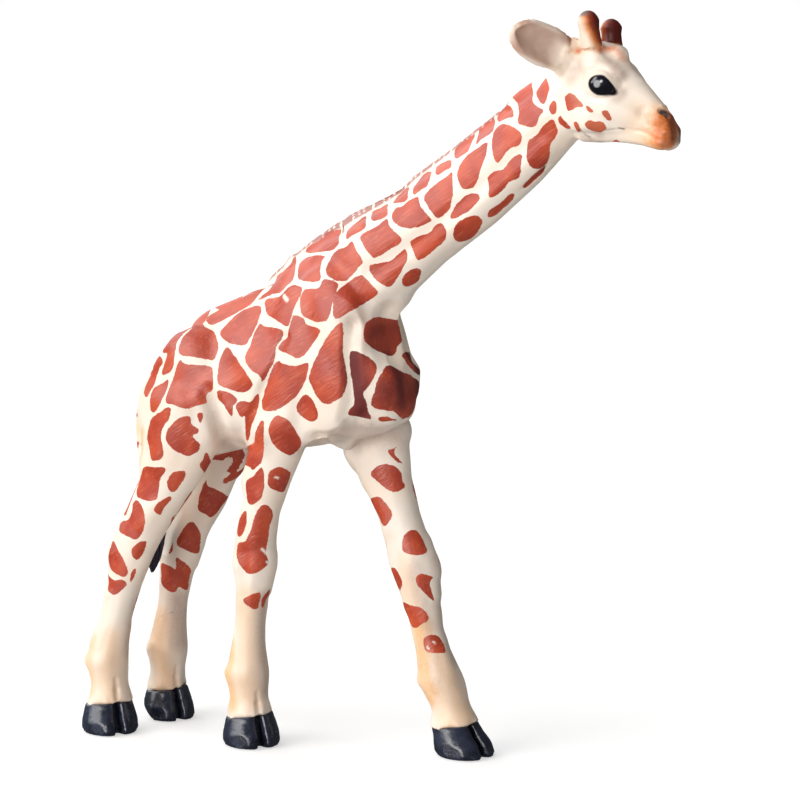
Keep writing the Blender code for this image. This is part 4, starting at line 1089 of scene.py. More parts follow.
def carried_patch(patch, tree, source, target):
    """A leg's patch on the other leg of the pair; source and target give the middles of the legs."""
    landed = []
    for place in patch.places:
        offset = place - source(place.z)
        middle = target(place.z - CARRY_DROP)
        landed.append(tree.find_nearest(middle + Vector((offset.x, -offset.y, 0)))[:2])
    return Patch(landed, patch.limit)


def lay_coat(tree):
    near, far = [], []
    for outlines, limit in ((trunk_outlines, TRUNK_LIMIT), (neck_outlines, NECK_LIMIT),
                            (head_outlines, LEG_LIMIT)):
        laid = lay_patches(outlines, tree, limit)
        near += laid
        for patch in laid:
            if max(place.y for place in patch.places) < MIDLINE_REACH:
                far.append(mirrored_patch(patch, tree))
    for name, outlines in leg_outlines.items():
        side, other = ("right", "left") if "right" in name else ("left", "right")
        source, target = leg_middles[name], leg_middles[name.replace(side, other)]
        laid = lay_patches(outlines, tree, LEG_LIMIT)
        near += laid
        far += [carried_patch(patch, tree, source, target) for patch in laid]
    return near, far


near_patches, far_patches = lay_coat(whole_tree)
bare_patches = lay_patches(bare_outlines, whole_tree, LEG_LIMIT)
print("patches laid:", len(near_patches), "near,", len(far_patches), "far")

# %% [markdown]
# The top of the rump doesn't show either. It gets a few patches of the same kind, given in
# millimetres and dropped onto the skin from above.

# %% Lay patches on top of the rump
RUMP_TOP_OUTLINES = (
    ((-62.5, 0.5), (-60.0, 3.8), (-56.0, 3.2), (-55.0, -0.4), (-58.5, -2.2), (-61.8, -1.6)),
    ((-60.8, -3.4), (-57.0, -3.8), (-53.8, -2.6), (-53.4, -5.6), (-57.2, -7.2), (-60.6, -6.0)),
    ((-53.6, -0.8), (-53.8, 2.6), (-50.6, 3.2), (-48.8, 0.4), (-51.0, -2.4)),
    ((-60.4, 5.4), (-56.2, 5.0), (-53.0, 5.4), (-53.6, 8.4), (-56.6, 9.6)),
)
ABOVE = 200.0
DOWN = Vector((0.0, 0.0, -1.0))


def dropped_patch(outline, tree):
    landed = [tree.ray_cast(Vector((x, y, ABOVE)) * MM, DOWN)[:2] for x, y in outline]
    return Patch(landed, LEG_LIMIT)


rump_patches = [dropped_patch(outline, whole_tree) for outline in RUMP_TOP_OUTLINES]
print("patches on the rump:", len(rump_patches))

# %% Measure the coat on each skin
FAR_GAP = 0.9 * MM


def laid_over(coat, patches, points, normals, kept_clear=None):
    """A coat with more patches on it, which keep clear of those in another coat."""
    coat = coat.copy()
    for patch in patches:
        index, depth = patch.depth_at(points, normals)
        if kept_clear is not None:
            depth = np.minimum(depth, -kept_clear[index] - FAR_GAP)
        coat[index] = np.maximum(coat[index], depth)
    return coat


def coat_on(points, normals):
    """How deep each point lies inside a patch; far patches keep clear of the near ones."""
    near_coat = laid_over(np.full(len(points), -COAT_MARGIN), near_patches, points, normals)
    kept_clear = laid_over(near_coat, bare_patches, points, normals)
    side_coat = laid_over(near_coat, far_patches, points, normals, kept_clear)
    return laid_over(side_coat, rump_patches, points, normals, side_coat)


def set_attribute(thing, name, values):
    layer = thing.data.attributes.get(name) or thing.data.attributes.new(name, "FLOAT", "POINT")
    layer.data.foreach_set("value", values.astype(np.float32))


SKINS = (body, fine_head)
for skin in SKINS:
    set_attribute(skin, "coat", coat_on(points_of(skin), normals_of(skin)) / MM)
print("skins with a coat:", len(SKINS))

# %% [markdown]
# Before the patches go on, the painter sprays soft colours with an airbrush: tan on the lower legs,
# orange on the muzzle and dark brown on the horns and at the ear's root. Painted shade goes on the same
# way: grey-brown in the folds, under the belly and the jaw, over the brow and along the shaded sides of
# the shins, dark brown over the muzzle's front, and deep maroon on the breast patches. Each spray is a
# path with a width, as a stroke is, and its strength becomes an attribute of the skin that the material
# mixes a paint by.

# %% Airbrushed paint and painted shade
SPRAYS = {
    "tan": (
        (0.55, 4.0, ((92, 640), (88, 662), (90, 690))),
        (0.45, 6.0, ((110, 640), (108, 680), (110, 700))),
        (0.80, 4.4, ((419, 628), (422, 668), (430, 700))),
        (0.50, 6.0, ((440, 660), (452, 690), (465, 715))),
        (0.80, 4.0, ((229, 645), (228, 680), (232, 705))),
        (0.45, 6.0, ((245, 600), (246, 660), (248, 700))),
        (0.60, 5.4, ((160, 620), (158, 655), (166, 685))),
        (0.35, 4.0, ((406, 560), (410, 600), (416, 630))),
        (0.60, 2.4, ((138, 432), (142, 446), (140, 458))),
        (0.80, 6.0, ((661, 118), (657, 130), (654, 141))),
        (0.35, 5.5, ((642, 116), (638, 134))),
    ),
    # painted shade: grey-brown in the thigh fold, under the belly, jaw and chin, in the hollow before the
    # shoulder, over the brow and along the shaded sides of the shins
    "painted_shade": (
        (0.32, 3.4, ((208, 396), (214, 416), (220, 434), (232, 450))),
        (0.35, 5.0, ((226, 438), (250, 450), (262, 446))),
        (0.30, 4.5, ((348, 318), (360, 326), (366, 340))),
        (0.40, 4.0, ((340, 440), (350, 430), (368, 424))),
        (0.30, 6.0, ((372, 436), (385, 440), (398, 438))),
        (0.25, 4.0, ((300, 448), (316, 444), (330, 436))),
        (0.40, 3.0, ((264, 596), (262, 640), (266, 690))),
        (0.42, 4.5, ((178, 600), (180, 640), (182, 690))),
        (0.30, 3.0, ((436, 560), (442, 600), (456, 660))),
        (0.50, 2.6, ((611, 62), (617, 68), (621, 75))),
        (0.35, 1.8, ((630, 62), (638, 74))),
        (0.25, 3.0, ((576, 66), (570, 80))),
        (0.30, 2.0, ((616, 98), (622, 92))),
        (0.35, 2.0, ((586, 139), (600, 142), (620, 143))),
        (0.50, 1.2, ((678, 141), (681, 144))),
    ),
    "ember": (
        (1.60, 3.2, ((671, 119), (672, 130), (669, 141))),
        (1.20, 4.6, ((665, 121), (662, 139))),
        (0.32, 4.6, ((655, 118), (652, 138))),
        (0.80, 1.8, ((599, 49), (606, 48), (613, 48))),
        (0.50, 1.8, ((616, 50), (624, 58))),
        (0.80, 2.0, ((572, 34), (577, 42), (578, 50))),
    ),
    # dark brown: painted shade over the muzzle's front, which faces away from the lamps, and a brown spot
    # of paint between the near ear and horn
    "umber_and_shade": (
        (0.95, 1.9, ((669, 119), (672, 129), (673, 139))),
        (0.35, 3.0, ((663, 122), (666, 134))),
        (0.90, 1.5, ((570, 34), (576, 42))),
    ),
    # painted shade: the breast patches turn deep maroon where the breast faces away from the lamps, most in
    # the crease behind the shoulder
    "breast_shade": (
        (0.60, 5.0, ((372, 334), (392, 330), (408, 345))),
        (1.00, 5.2, ((354, 356), (358, 392), (362, 414))),
        (0.55, 7.0, ((385, 392), (400, 388), (412, 398))),
        (0.90, 4.0, ((408, 352), (418, 372), (421, 400))),
    ),
    "chip": (
        (1.50, 0.75, ((284, 296), (287, 300))),
        (1.30, 0.50, ((262, 549), (266, 553))),
        (1.30, 0.45, ((267, 562), (271, 565))),
        (1.20, 0.40, ((275, 477), (278, 478))),
        (1.20, 0.35, ((433, 642), (435, 643))),
    ),
    # dark paint on the nostril, along the mouth, in the jaw and neck creases, a grey mark on the withers
    # and the seam of the far hind shin; the dark line down the nose's front edge is painted shade
    "dark_marks_and_shade": (
        (1.30, 1.0, ((662, 112), (665, 113), (667, 115))),
        (0.50, 1.3, ((673, 116), (677, 126), (679, 138))),
        (0.22, 0.35, ((605, 130), (614, 129))),
        (0.75, 0.40, ((619, 128), (624, 129))),
        (0.55, 0.35, ((581, 131), (586, 135), (590, 137))),
        (0.65, 0.40, ((524, 187), (534, 178), (546, 166))),
        (0.50, 0.45, ((314, 313), (312, 318))),
        (0.35, 0.30, ((162, 616), (172, 612), (185, 610))),
    ),
}
HEAD_FROM, HEAD_ABOVE = 556, 160


def spray(skins, body_tree, head_tree):
    for mask, rows in SPRAYS.items():
        laid = []
        for strength, width, pixels in rows:
            on_head = pixels[0][0] > HEAD_FROM and pixels[0][1] < HEAD_ABOVE
            laid.append((strength, width, paths_on(pixels, head_tree if on_head else body_tree, True)))
        for skin in skins:
            points = points_of(skin)
            cover = np.zeros(len(points))
            for strength, width, paths in laid:
                for path in paths:
                    near, share = nearness(points, path, width * MM)
                    cover[near] = np.maximum(cover[near], np.minimum(share * strength, 1.0))
            set_attribute(skin, mask, cover)


spray(SKINS, whole_tree, tree_of(fine_head))
print("sprayed shades:", ", ".join(SPRAYS))

# %% Brushed details: the mane, the rims of the eyes and the paler spots of the face
NICK_SHARE = 0.10
FACE_START = THROAT.x + 4 * MM

for skin in SKINS:
    crest, tufts = crest_of(skin)
    phase = tufts - np.floor(tufts)
    set_attribute(skin, "mane", np.clip((crest - 0.35) / 0.25, 0.0, 1.0) * (phase > NICK_SHARE))
    set_attribute(skin, "nick", np.clip((crest - 0.45) / 0.2, 0.0, 1.0) * (phase <= NICK_SHARE))
    set_attribute(skin, "face", np.clip((points_of(skin)[:, 0] - FACE_START) / (3 * MM), 0.0, 1.0))
rims = [eye_places(points_of(fine_head), side) for side in (-1.0, 1.0)]
lash = np.zeros(len(fine_head.data.vertices))
for u, v, w, rim in rims:
    line = np.clip((0.22 * MM - rim) / (0.22 * MM), 0.0, 1.0) * (np.hypot(u, v) < EYE_AREA) * (w > -MM)
    lash = np.maximum(lash, line)
set_attribute(fine_head, "lash", lash)
set_attribute(body, "lash", np.zeros(len(body.data.vertices)))
print("brushed: mane, nick, face, lash")

# %% [markdown]
# The skin's paint is one material. The attributes say where each paint lies, and the nodes give the
# paints their colours, the brushed wobble of their edges, the satin and the fine grain of the
# casting. Grain and brushed edges serve several paints, so each is a node group, built once.

# %% Short ways to add and link nodes


def linear(*colour):
    """The red, green and blue that a screen shows, as the shader needs them."""
    return tuple(c / 255 / 12.92 if c < 10 else ((c / 255 + 0.055) / 1.055) ** 2.4 for c in colour)


class Nodes:
    """Short ways to add and link nodes in one tree."""

    def __init__(self, tree):
        self.tree = tree

    def add(self, kind, inputs=None, **settings):
        node = self.tree.nodes.new(kind)
        for key, value in settings.items():
            setattr(node, key, value)
        for key, value in (inputs or {}).items():
            if isinstance(value, bpy.types.NodeSocket):
                self.tree.links.new(value, node.inputs[key])
            elif node.inputs[key].type == "RGBA":
                node.inputs[key].default_value = (*value, 1.0)
            else:
                node.inputs[key].default_value = value
        return node

    def math(self, operation, one, two=0.0, clamp=False):
        return self.add("ShaderNodeMath", {0: one, 1: two}, operation=operation, use_clamp=clamp).outputs[0]

    def mix(self, share, one, two):
        return self.add("ShaderNodeMix", {0: share, 6: one, 7: two}, data_type="RGBA").outputs[2]

    def ramp(self, value, low, high, first=0.0, last=1.0):
        node = self.add("ShaderNodeMapRange", {0: value, 1: low, 2: high, 3: first, 4: last})
        node.interpolation_type = "SMOOTHSTEP"
        return node.outputs[0]

    def attribute(self, name):
        return self.add("ShaderNodeAttribute", attribute_name=name).outputs["Fac"]

    def noise(self, place, scale, detail=2.0):
        inputs = {"Vector": place, "Scale": scale, "Detail": detail}
        return self.add("ShaderNodeTexNoise", inputs).outputs["Fac"]

    def place(self):
        return self.add("ShaderNodeTexCoord").outputs["Object"]


def new_group(name, inputs, outputs):
    tree = bpy.data.node_groups.new(name, "ShaderNodeTree")
    for socket, kind in inputs:
        tree.interface.new_socket(socket, in_out="INPUT", socket_type=kind)
    for socket, kind in outputs:
        tree.interface.new_socket(socket, in_out="OUTPUT", socket_type=kind)
    n = Nodes(tree)
    return n, n.add("NodeGroupInput").outputs, n.add("NodeGroupOutput").inputs


# %% Shared effects: a brushed edge and the grain of the casting
def build_brushed_edge():
    """The mask of a hand-painted patch, from its depth in mm inside the outline."""
    n, inner, outer = new_group(
        "brushed_edge",
        (("Place", "NodeSocketVector"), ("Depth", "NodeSocketFloat"), ("Wobble", "NodeSocketFloat")),
        (("Mask", "NodeSocketFloat"),),
    )
    slow = n.math("SUBTRACT", n.noise(inner["Place"], 420.0, 2.0), 0.5)
    fast = n.math("SUBTRACT", n.noise(inner["Place"], 1700.0, 2.0), 0.5)
    drift = n.math("MULTIPLY", n.math("ADD", slow, n.math("MULTIPLY", fast, 0.55)), inner["Wobble"])
    mask = n.ramp(n.math("ADD", inner["Depth"], drift), -0.06, 0.07)
    n.tree.links.new(mask, outer["Mask"])
    return n.tree


def build_cast_grain():
    """Fine pitting and a slow unevenness of satin, as moulded vinyl has."""
    n, inner, outer = new_group(
        "cast_grain",
        (("Place", "NodeSocketVector"), ("Roughness", "NodeSocketFloat"), ("Spread", "NodeSocketFloat")),
        (("Height", "NodeSocketFloat"), ("Roughness", "NodeSocketFloat")),
    )
    pits = n.noise(inner["Place"], 2600.0, 3.0)
    waves = n.noise(inner["Place"], 380.0, 3.0)
    height = n.math("ADD", n.math("MULTIPLY", pits, 0.5), n.math("MULTIPLY", waves, 0.5))
    swing = n.math("SUBTRACT", n.noise(inner["Place"], 210.0, 4.0), 0.5)
    uneven = n.math("MULTIPLY", swing, inner["Spread"])
    n.tree.links.new(height, outer["Height"])
    n.tree.links.new(n.math("ADD", inner["Roughness"], uneven), outer["Roughness"])
    return n.tree


brushed_edge = build_brushed_edge()
cast_grain = build_cast_grain()
print("shared effects:", brushed_edge.name, "and", cast_grain.name)


# %% Start a paint, put the grain on it, and give it to a piece
def new_paint(name, specular=0.5):
    made = bpy.data.materials.new(name)
    made.use_nodes = True
    shader = made.node_tree.nodes["Principled BSDF"]
    shader.inputs["Specular IOR Level"].default_value = specular
    return made, Nodes(made.node_tree), shader


def grained(n, shader, place, roughness, spread, strength, distance):
    """Puts the casting's grain on a paint, and returns the bump node."""
    grain = n.add("ShaderNodeGroup", {"Place": place, "Roughness": roughness, "Spread": spread},
                  node_tree=cast_grain)
    bump = n.add("ShaderNodeBump", {"Strength": strength, "Distance": distance,
                                    "Height": grain.outputs["Height"]})
    n.tree.links.new(grain.outputs["Roughness"], shader.inputs["Roughness"])
    n.tree.links.new(bump.outputs["Normal"], shader.inputs["Normal"])
    return grain, bump


def give_paint(thing, finish):
    thing.data.materials.clear()
    thing.data.materials.append(finish)


# %% Skin paint
CREAM = linear(249, 235, 220)
CREAM_WARM = linear(249, 229, 209)
TAN = linear(242, 184, 118)
# grey-brown painted shade for the folds and the shaded sides
PAINTED_SHADE = linear(140, 104, 90)
EMBER = linear(220, 112, 20)
# dark brown paint, and painted shade on the muzzle's front
UMBER_AND_SHADE = linear(128, 58, 28)
# dark marks, and painted shade down the nose's front edge
DARK_MARKS_AND_SHADE = linear(40, 18, 18)
LASH = linear(16, 12, 18)
PATCH = linear(200, 74, 34)
PATCH_DEEP = linear(176, 54, 24)
# patch paint darkened as painted shade on the breast
PATCH_IN_SHADE = linear(106, 16, 8)
PATCH_PALE = linear(220, 126, 88)
MANE = linear(150, 62, 50)
HAIR_LAY = (0.0, math.radians(55.0), 0.0)
HAIR_STRETCH = (1.0, 1.0, 12.0)
BRUSH_WOBBLE = 0.62
GRAIN_HEIGHT = 0.12 * MM


def skin_paint():
    made, n, shader = new_paint("skin_paint", 0.80)
    place = n.place()
    cream = n.mix(n.ramp(n.noise(place, 90.0, 3.0), 0.35, 0.7), CREAM, CREAM_WARM)
    # Tan and orange are paint; the grey-brown is painted shade, and the dark brown is partly painted shade.
    for mask, colour in (("tan", TAN), ("ember", EMBER), ("umber_and_shade", UMBER_AND_SHADE), ("painted_shade", PAINTED_SHADE)):
        speckle = n.ramp(n.noise(place, 1500.0, 2.0), 0.3, 0.75, 0.86, 1.1)
        cream = n.mix(n.math("MULTIPLY", n.attribute(mask), speckle, True), cream, colour)
    edge = n.add("ShaderNodeGroup",
                 {"Place": place, "Depth": n.attribute("coat"), "Wobble": BRUSH_WOBBLE},
                 node_tree=brushed_edge)
    patch = n.mix(n.ramp(n.noise(place, 150.0, 3.0), 0.36, 0.68), PATCH_DEEP, PATCH)
    # Painted shade on the breast patches.
    patch = n.mix(n.attribute("breast_shade"), patch, PATCH_IN_SHADE)
    lay = n.add("ShaderNodeMapping", {"Vector": place, "Rotation": HAIR_LAY, "Scale": HAIR_STRETCH},
                vector_type="TEXTURE")
    hair = n.noise(lay.outputs[0], 2100.0, 2.0)
    # Paler patch paint at random and on the face, and a painted sheen: the engraved hair lines are painted
    # paler, as highlights along them.
    pale_and_sheen = n.math("MULTIPLY", n.ramp(n.noise(place, 520.0, 4.0), 0.62, 0.76), 0.35)
    pale_and_sheen = n.math("MAXIMUM", pale_and_sheen, n.math("MULTIPLY", n.ramp(hair, 0.56, 0.70), 0.32))
    pale_and_sheen = n.math("MAXIMUM", pale_and_sheen, n.math("MULTIPLY", n.attribute("face"), 0.45))
    shaded = n.math("SUBTRACT", 1.0, n.attribute("breast_shade"), True)
    patch = n.mix(n.math("MULTIPLY", pale_and_sheen, shaded), patch, PATCH_PALE)
    colour = n.mix(edge.outputs["Mask"], cream, patch)
    colour = n.mix(n.math("MULTIPLY", n.attribute("mane"), 0.85), colour, MANE)
    colour = n.mix(n.math("MAXIMUM", n.attribute("nick"), n.attribute("chip")), colour, CREAM)
    # Dark marks, with painted shade down the nose's front edge.
    colour = n.mix(n.attribute("dark_marks_and_shade"), colour, DARK_MARKS_AND_SHADE)
    colour = n.mix(n.attribute("lash"), colour, LASH)
    n.tree.links.new(colour, shader.inputs["Base Color"])
    grain, bump = grained(n, shader, place, 0.44, 0.34, 0.45, GRAIN_HEIGHT)
    # The painted shade on the breast is made rougher too, so that it shows less satin.
    dull = n.math("MULTIPLY", n.attribute("breast_shade"), 0.30)
    n.tree.links.new(n.math("ADD", grain.outputs["Roughness"], dull, True), shader.inputs["Roughness"])
    hair = n.math("MULTIPLY", hair, n.math("MULTIPLY", edge.outputs["Mask"], 2.2))
    paint_film = n.math("ADD", n.math("MULTIPLY", edge.outputs["Mask"], 0.35), hair)
    height = n.math("ADD", grain.outputs["Height"], paint_film)
    n.tree.links.new(height, bump.inputs["Height"])
    return made


skin_finish = skin_paint()
for skin in SKINS:
    give_paint(skin, skin_finish)
print("skin paint with", len(skin_finish.node_tree.nodes), "nodes")

# %% [markdown]
# Now the skins are cut into the pieces that the castings are. Each cut is a bisect of the faces near
# the seam; the part beyond it that holds a named place is taken off, and both holes are closed.

# %% Cut a piece off beyond a seam


def face_middles(mesh):
    flat = np.empty(len(mesh.polygons) * 3, np.float32)
    mesh.polygons.foreach_get("center", flat)
    return flat.reshape(-1, 3)


def faces_beyond(thing, place, normal, seed):
    """The faces beyond a plane that hang together with the one nearest a place."""
    mesh = thing.data
    count = len(mesh.polygons)
    middles = face_middles(mesh)
    beyond = (middles - np.array(place)) @ np.array(normal) > 0
    gaps = np.where(beyond, np.linalg.norm(middles - np.array(seed), axis=1), np.inf)
    owner = np.empty(len(mesh.loops), np.int32)
    mesh.loops.foreach_get("vertex_index", owner)
    sizes = np.empty(count, np.int32)
    mesh.polygons.foreach_get("loop_total", sizes)
    face_of_loop = np.repeat(np.arange(count), sizes)
    used = beyond[face_of_loop]
    loops, faces = owner[used], face_of_loop[used]
    label = np.zeros(len(mesh.vertices), bool)
    chosen = np.zeros(count, bool)
    chosen[int(np.argmin(gaps))] = True
    while True:
        label[loops[chosen[faces]]] = True
        grown = np.zeros(count, bool)
        grown[faces[label[loops]]] = True
        if grown.sum() == chosen.sum():
            return chosen
        chosen = grown


def part_off(thing, name, place, normal, seed, reach=0.1):
    """Makes what lies beyond a seam, on the seed's side, a piece of its own, and closes both holes."""
    mesh = thing.data
    near = np.linalg.norm(face_middles(mesh) - np.array(place), axis=1) < reach
    pick(thing)
    bpy.ops.object.mode_set(mode="EDIT")
    bpy.ops.mesh.select_mode(type="FACE")
    bpy.ops.mesh.select_all(action="DESELECT")
    bpy.ops.object.mode_set(mode="OBJECT")
    mesh.polygons.foreach_set("select", near)
    bpy.ops.object.mode_set(mode="EDIT")
    bpy.ops.mesh.bisect(plane_co=place, plane_no=normal)
    bpy.ops.mesh.select_all(action="DESELECT")
    bpy.ops.object.mode_set(mode="OBJECT")
    mesh.polygons.foreach_set("select", faces_beyond(thing, place, normal, seed))
    bpy.ops.object.mode_set(mode="EDIT")
    bpy.ops.mesh.separate(type="SELECTED")
    bpy.ops.object.mode_set(mode="OBJECT")
    made = next(other for other in bpy.context.selected_objects if other != thing)
    made.name = name
    for half in (thing, made):
        pick(half)
        bpy.ops.object.mode_set(mode="EDIT")
        bpy.ops.mesh.select_mode(type="VERT")
        bpy.ops.mesh.select_all(action="DESELECT")
        bpy.ops.mesh.select_non_manifold()
        bpy.ops.mesh.fill()
        bpy.ops.object.mode_set(mode="OBJECT")
    return made


# %% Cut the body and the head at their seams
NECK_SEAM = Vector((-0.3, 0.0, 116.1)) * MM
NECK_FACING = Vector((math.cos(math.radians(36.0)), 0.0, math.sin(math.radians(36.0))))
LEG_SEAM = 65.8 * MM
SHIN_SEAM = 27.0 * MM
HORN_ROOTS = {-1.0: Vector((57.1, -4.4, 170.6)) * MM, 1.0: Vector((58.3, 4.4, 170.6)) * MM}
HORN_SPLAY = math.radians(22.0)
HORN_TILT = math.radians(6.0)
HEAD_SEED, EAR_SEED, HORN_SEED = 20 * MM, 12 * MM, 6 * MM
EAR_CUT_REACH, HORN_CUT_REACH = 8 * MM, 5 * MM

pieces = {}
neck_and_head = part_off(body, "neck", NECK_SEAM, NECK_FACING, THROAT)
discarded = part_off(neck_and_head, "coarse_head", THROAT, THROAT_FACING,
                     THROAT + THROAT_FACING * HEAD_SEED)
bpy.data.objects.remove(discarded)
pieces["neck"] = neck_and_head
for name in LEG_NAMES:
    middle_at = leg_middles[name]
    shin = middle_at(SHIN_SEAM)
    leg = part_off(body, name + "_upper_leg", middle_at(LEG_SEAM), DOWN, middle_at(45 * MM))
    pieces[name + "_lower_leg"] = part_off(leg, name + "_lower_leg", shin, DOWN, middle_at(15 * MM))
    pieces[name + "_upper_leg"] = leg
pieces["torso"] = body
cut_away(fine_head, THROAT, THROAT_FACING)
SIDES = (("right", -1.0), ("left", 1.0))
for side_name, side in SIDES:
    mirror = Vector((1.0, side, 1.0))
    root, outward = EAR_ROOT * mirror, EAR_OUTWARD * mirror
    pieces["ear_" + side_name] = part_off(fine_head, "ear_" + side_name, root, outward,
                                          root + outward * EAR_SEED, EAR_CUT_REACH)
for side_name, side in SIDES:
    root = HORN_ROOTS[side]
    facing = Vector((-math.sin(HORN_TILT), side * math.sin(HORN_SPLAY), math.cos(HORN_SPLAY))).normalized()
    pieces["ossicone_" + side_name] = part_off(fine_head, "ossicone_" + side_name, root, facing,
                                               root + facing * HORN_SEED, HORN_CUT_REACH)
pieces["head"] = fine_head
for name, piece in pieces.items():
    piece.name = name + "_skin"
    piece.data.name = piece.name
    size = [round(d / MM, 1) for d in piece.dimensions]
    print(piece.name, len(piece.data.polygons), "faces, size in mm", size)

# %% [markdown]
# The ears are thin cups. Seen from the front, the photograph shows the taupe inside with its cream
# rim, and dark brown where the upper edge runs into the skull. One attribute runs along the ear and
# one across it, so that the shading follows the leaf, and a third tells its inner face.

# %% Ear shades and paint
EAR_LENGTH = 15.4 * MM
EAR_HALF_WIDTH = 4.4 * MM


def shade_ear(name, side):
    root, outward, opening, across = ear_frame(side)
    points, normals = points_of(pieces[name]), normals_of(pieces[name])
    away = points - np.array(root)
    along = away @ np.array(outward) / EAR_LENGTH
    aside = away @ np.array(across) / EAR_HALF_WIDTH
    inner = np.clip(normals @ np.array(opening) * 2.2, 0.0, 1.0)
    set_attribute(pieces[name], "along", along)
    set_attribute(pieces[name], "aside", aside)
    set_attribute(pieces[name], "inner", inner)


def ear_paint():
    made, n, shader = new_paint("ear_paint", 0.35)
    place = n.place()
    along, aside, inner = n.attribute("along"), n.attribute("aside"), n.attribute("inner")
    drift = n.math("MULTIPLY", n.math("SUBTRACT", n.noise(place, 190.0, 3.0), 0.5), 0.30)
    along = n.math("ADD", along, drift)
    cream = n.mix(n.ramp(n.noise(place, 110.0, 3.0), 0.35, 0.7), CREAM, CREAM_WARM)
    blotches = n.ramp(n.noise(place, 260.0, 3.0), 0.3, 0.7)
    taupe = n.mix(blotches, linear(222, 190, 172), linear(204, 170, 152))
    taupe = n.mix(n.ramp(along, 0.62, 1.02), taupe, linear(192, 148, 126))
    taupe = n.mix(n.math("MULTIPLY", n.ramp(aside, 0.35, 1.0), 0.55), taupe, linear(198, 150, 124))
    inside = n.math("MULTIPLY", n.ramp(along, 0.12, 0.40), inner)
    inside = n.math("MULTIPLY", inside, n.ramp(aside, -1.0, -0.70))
    inside = n.math("MULTIPLY", inside, n.ramp(aside, 1.06, 0.84))
    inside = n.math("MULTIPLY", inside, n.ramp(along, 1.08, 0.94))
    colour = n.mix(n.math("MULTIPLY", inside, 0.92), cream, taupe)
    root = n.math("MULTIPLY", n.ramp(along, 0.45, 0.0), n.ramp(aside, -0.25, -0.80))
    colour = n.mix(n.math("MULTIPLY", root, 0.85), colour, linear(134, 80, 56))
    n.tree.links.new(colour, shader.inputs["Base Color"])
    grained(n, shader, place, 0.5, 0.2, 0.4, GRAIN_HEIGHT)
    return made


ear_finish = ear_paint()
for side_name, side in SIDES:
    shade_ear("ear_" + side_name, side)
    give_paint(pieces["ear_" + side_name], ear_finish)
print("ears shaded")

# %% [markdown]
# The horns are cream where they face the light, and the airbrush has run orange and red-brown over
# their other side and nearly black over their tips. Deepest on the side turned from the lamps, the
# red-brown runs into a nearly black band of painted shade. The shade turns round the horn, so it is
# laid by the angle.

# %% Horn shades and paint
HORN_LENGTHS = {"ossicone_right": 8.2 * MM, "ossicone_left": 6.4 * MM}
HORN_DOME = 0.9 * MM
HORN_RADIUS = 2.5 * MM
HORN_DOME_RADIUS = 2.4 * MM
HORN_CREAM = linear(240, 216, 194)


def shade_horn(name, side):
    root = HORN_ROOTS[side]
    upward = Vector((-math.sin(HORN_TILT), side * math.sin(HORN_TILT), 1.0)).normalized()
    points = points_of(pieces[name])
    away = points - np.array(root)
    rise = away @ np.array(upward) / HORN_LENGTHS[name]
    away -= (away @ np.array(upward))[:, None] * np.array(upward)
    off_tip = away - away[rise > 0.8].mean(axis=0)
    dome = np.clip(np.linalg.norm(off_tip, axis=1) / HORN_DOME_RADIUS, 0.0, 1.2) ** 2
    dome *= np.clip((rise - 0.5) / 0.4, 0.0, 1.0)
    set_points(pieces[name], points - dome[:, None] * np.array(upward) * HORN_DOME)
    front = Vector((0.90, 0.43 if side < 0 else -0.2, 0.0)).normalized()
    turned = away @ np.array(front) / HORN_RADIUS
    start = np.interp(rise, (0.0, 0.22, 0.55, 0.76, 0.95), (-0.05, -0.28, -0.72, -0.84, -0.90))
    # brown airbrush, deepening into painted shade on the side turned from the lamps
    brown = np.clip((turned - start) / 1.65, 0.0, 1.0)
    if side > 0:
        brown = np.clip((turned + 1.45 - 0.6 * np.clip(rise - 0.4, 0.0, 1.0)) / 1.7, 0.0, 1.0)
    cap = np.clip((rise - 0.95) / 0.05, 0.0, 1.0) * np.clip(0.6 - turned, 0.0, 1.0)
    set_attribute(pieces[name], "brown", brown)
    set_attribute(pieces[name], "rise", rise)
    set_attribute(pieces[name], "cap", cap)


def horn_paint():
    made, n, shader = new_paint("horn_paint", 0.45)
    place = n.place()
    brown, rise = n.attribute("brown"), n.attribute("rise")
    drift = n.math("MULTIPLY", n.math("SUBTRACT", n.noise(place, 420.0, 3.0), 0.5), 0.22)
    brown = n.math("ADD", brown, drift)
    colour = n.mix(n.ramp(brown, 0.02, 0.45), HORN_CREAM, linear(212, 128, 70))
    colour = n.mix(n.ramp(brown, 0.36, 0.72), colour, linear(136, 50, 16))
    # nearly black where the horn turns from the lamps: painted shade
    colour = n.mix(n.ramp(brown, 0.70, 1.0), colour, linear(92, 22, 8))
    colour = n.mix(n.math("MULTIPLY", n.ramp(rise, 0.16, -0.05), 0.45), colour, linear(232, 178, 132))
    colour = n.mix(n.attribute("cap"), colour, linear(84, 82, 92))
    n.tree.links.new(colour, shader.inputs["Base Color"])
    grained(n, shader, place, 0.40, 0.2, 0.35, GRAIN_HEIGHT)
    return made


horn_finish = horn_paint()
for side_name, side in SIDES:
    shade_horn("ossicone_" + side_name, side)
    give_paint(pieces["ossicone_" + side_name], horn_finish)
print("horns shaded")

# %% [markdown]
# Each eye is a dome: a sphere primitive with many segments, squeezed to the height of the painted
# bead. Its navy black paint is under a thick gloss, which a coat layer stands for.

# %% Eyes
DOME_BACK = 1.4 * MM


def eye_paint():
    made, n, shader = new_paint("eye_gloss", 0.6)
    place = n.place()
    clouds = n.ramp(n.noise(place, 700.0, 2.0), 0.35, 0.75)
    colour = n.mix(clouds, linear(9, 8, 16), linear(20, 18, 32))
    n.tree.links.new(colour, shader.inputs["Base Color"])
    grained(n, shader, place, 0.16, 0.08, 0.08, 0.00005)
    shader.inputs["Coat Weight"].default_value = 0.7
    shader.inputs["Coat Roughness"].default_value = 0.10
    return made


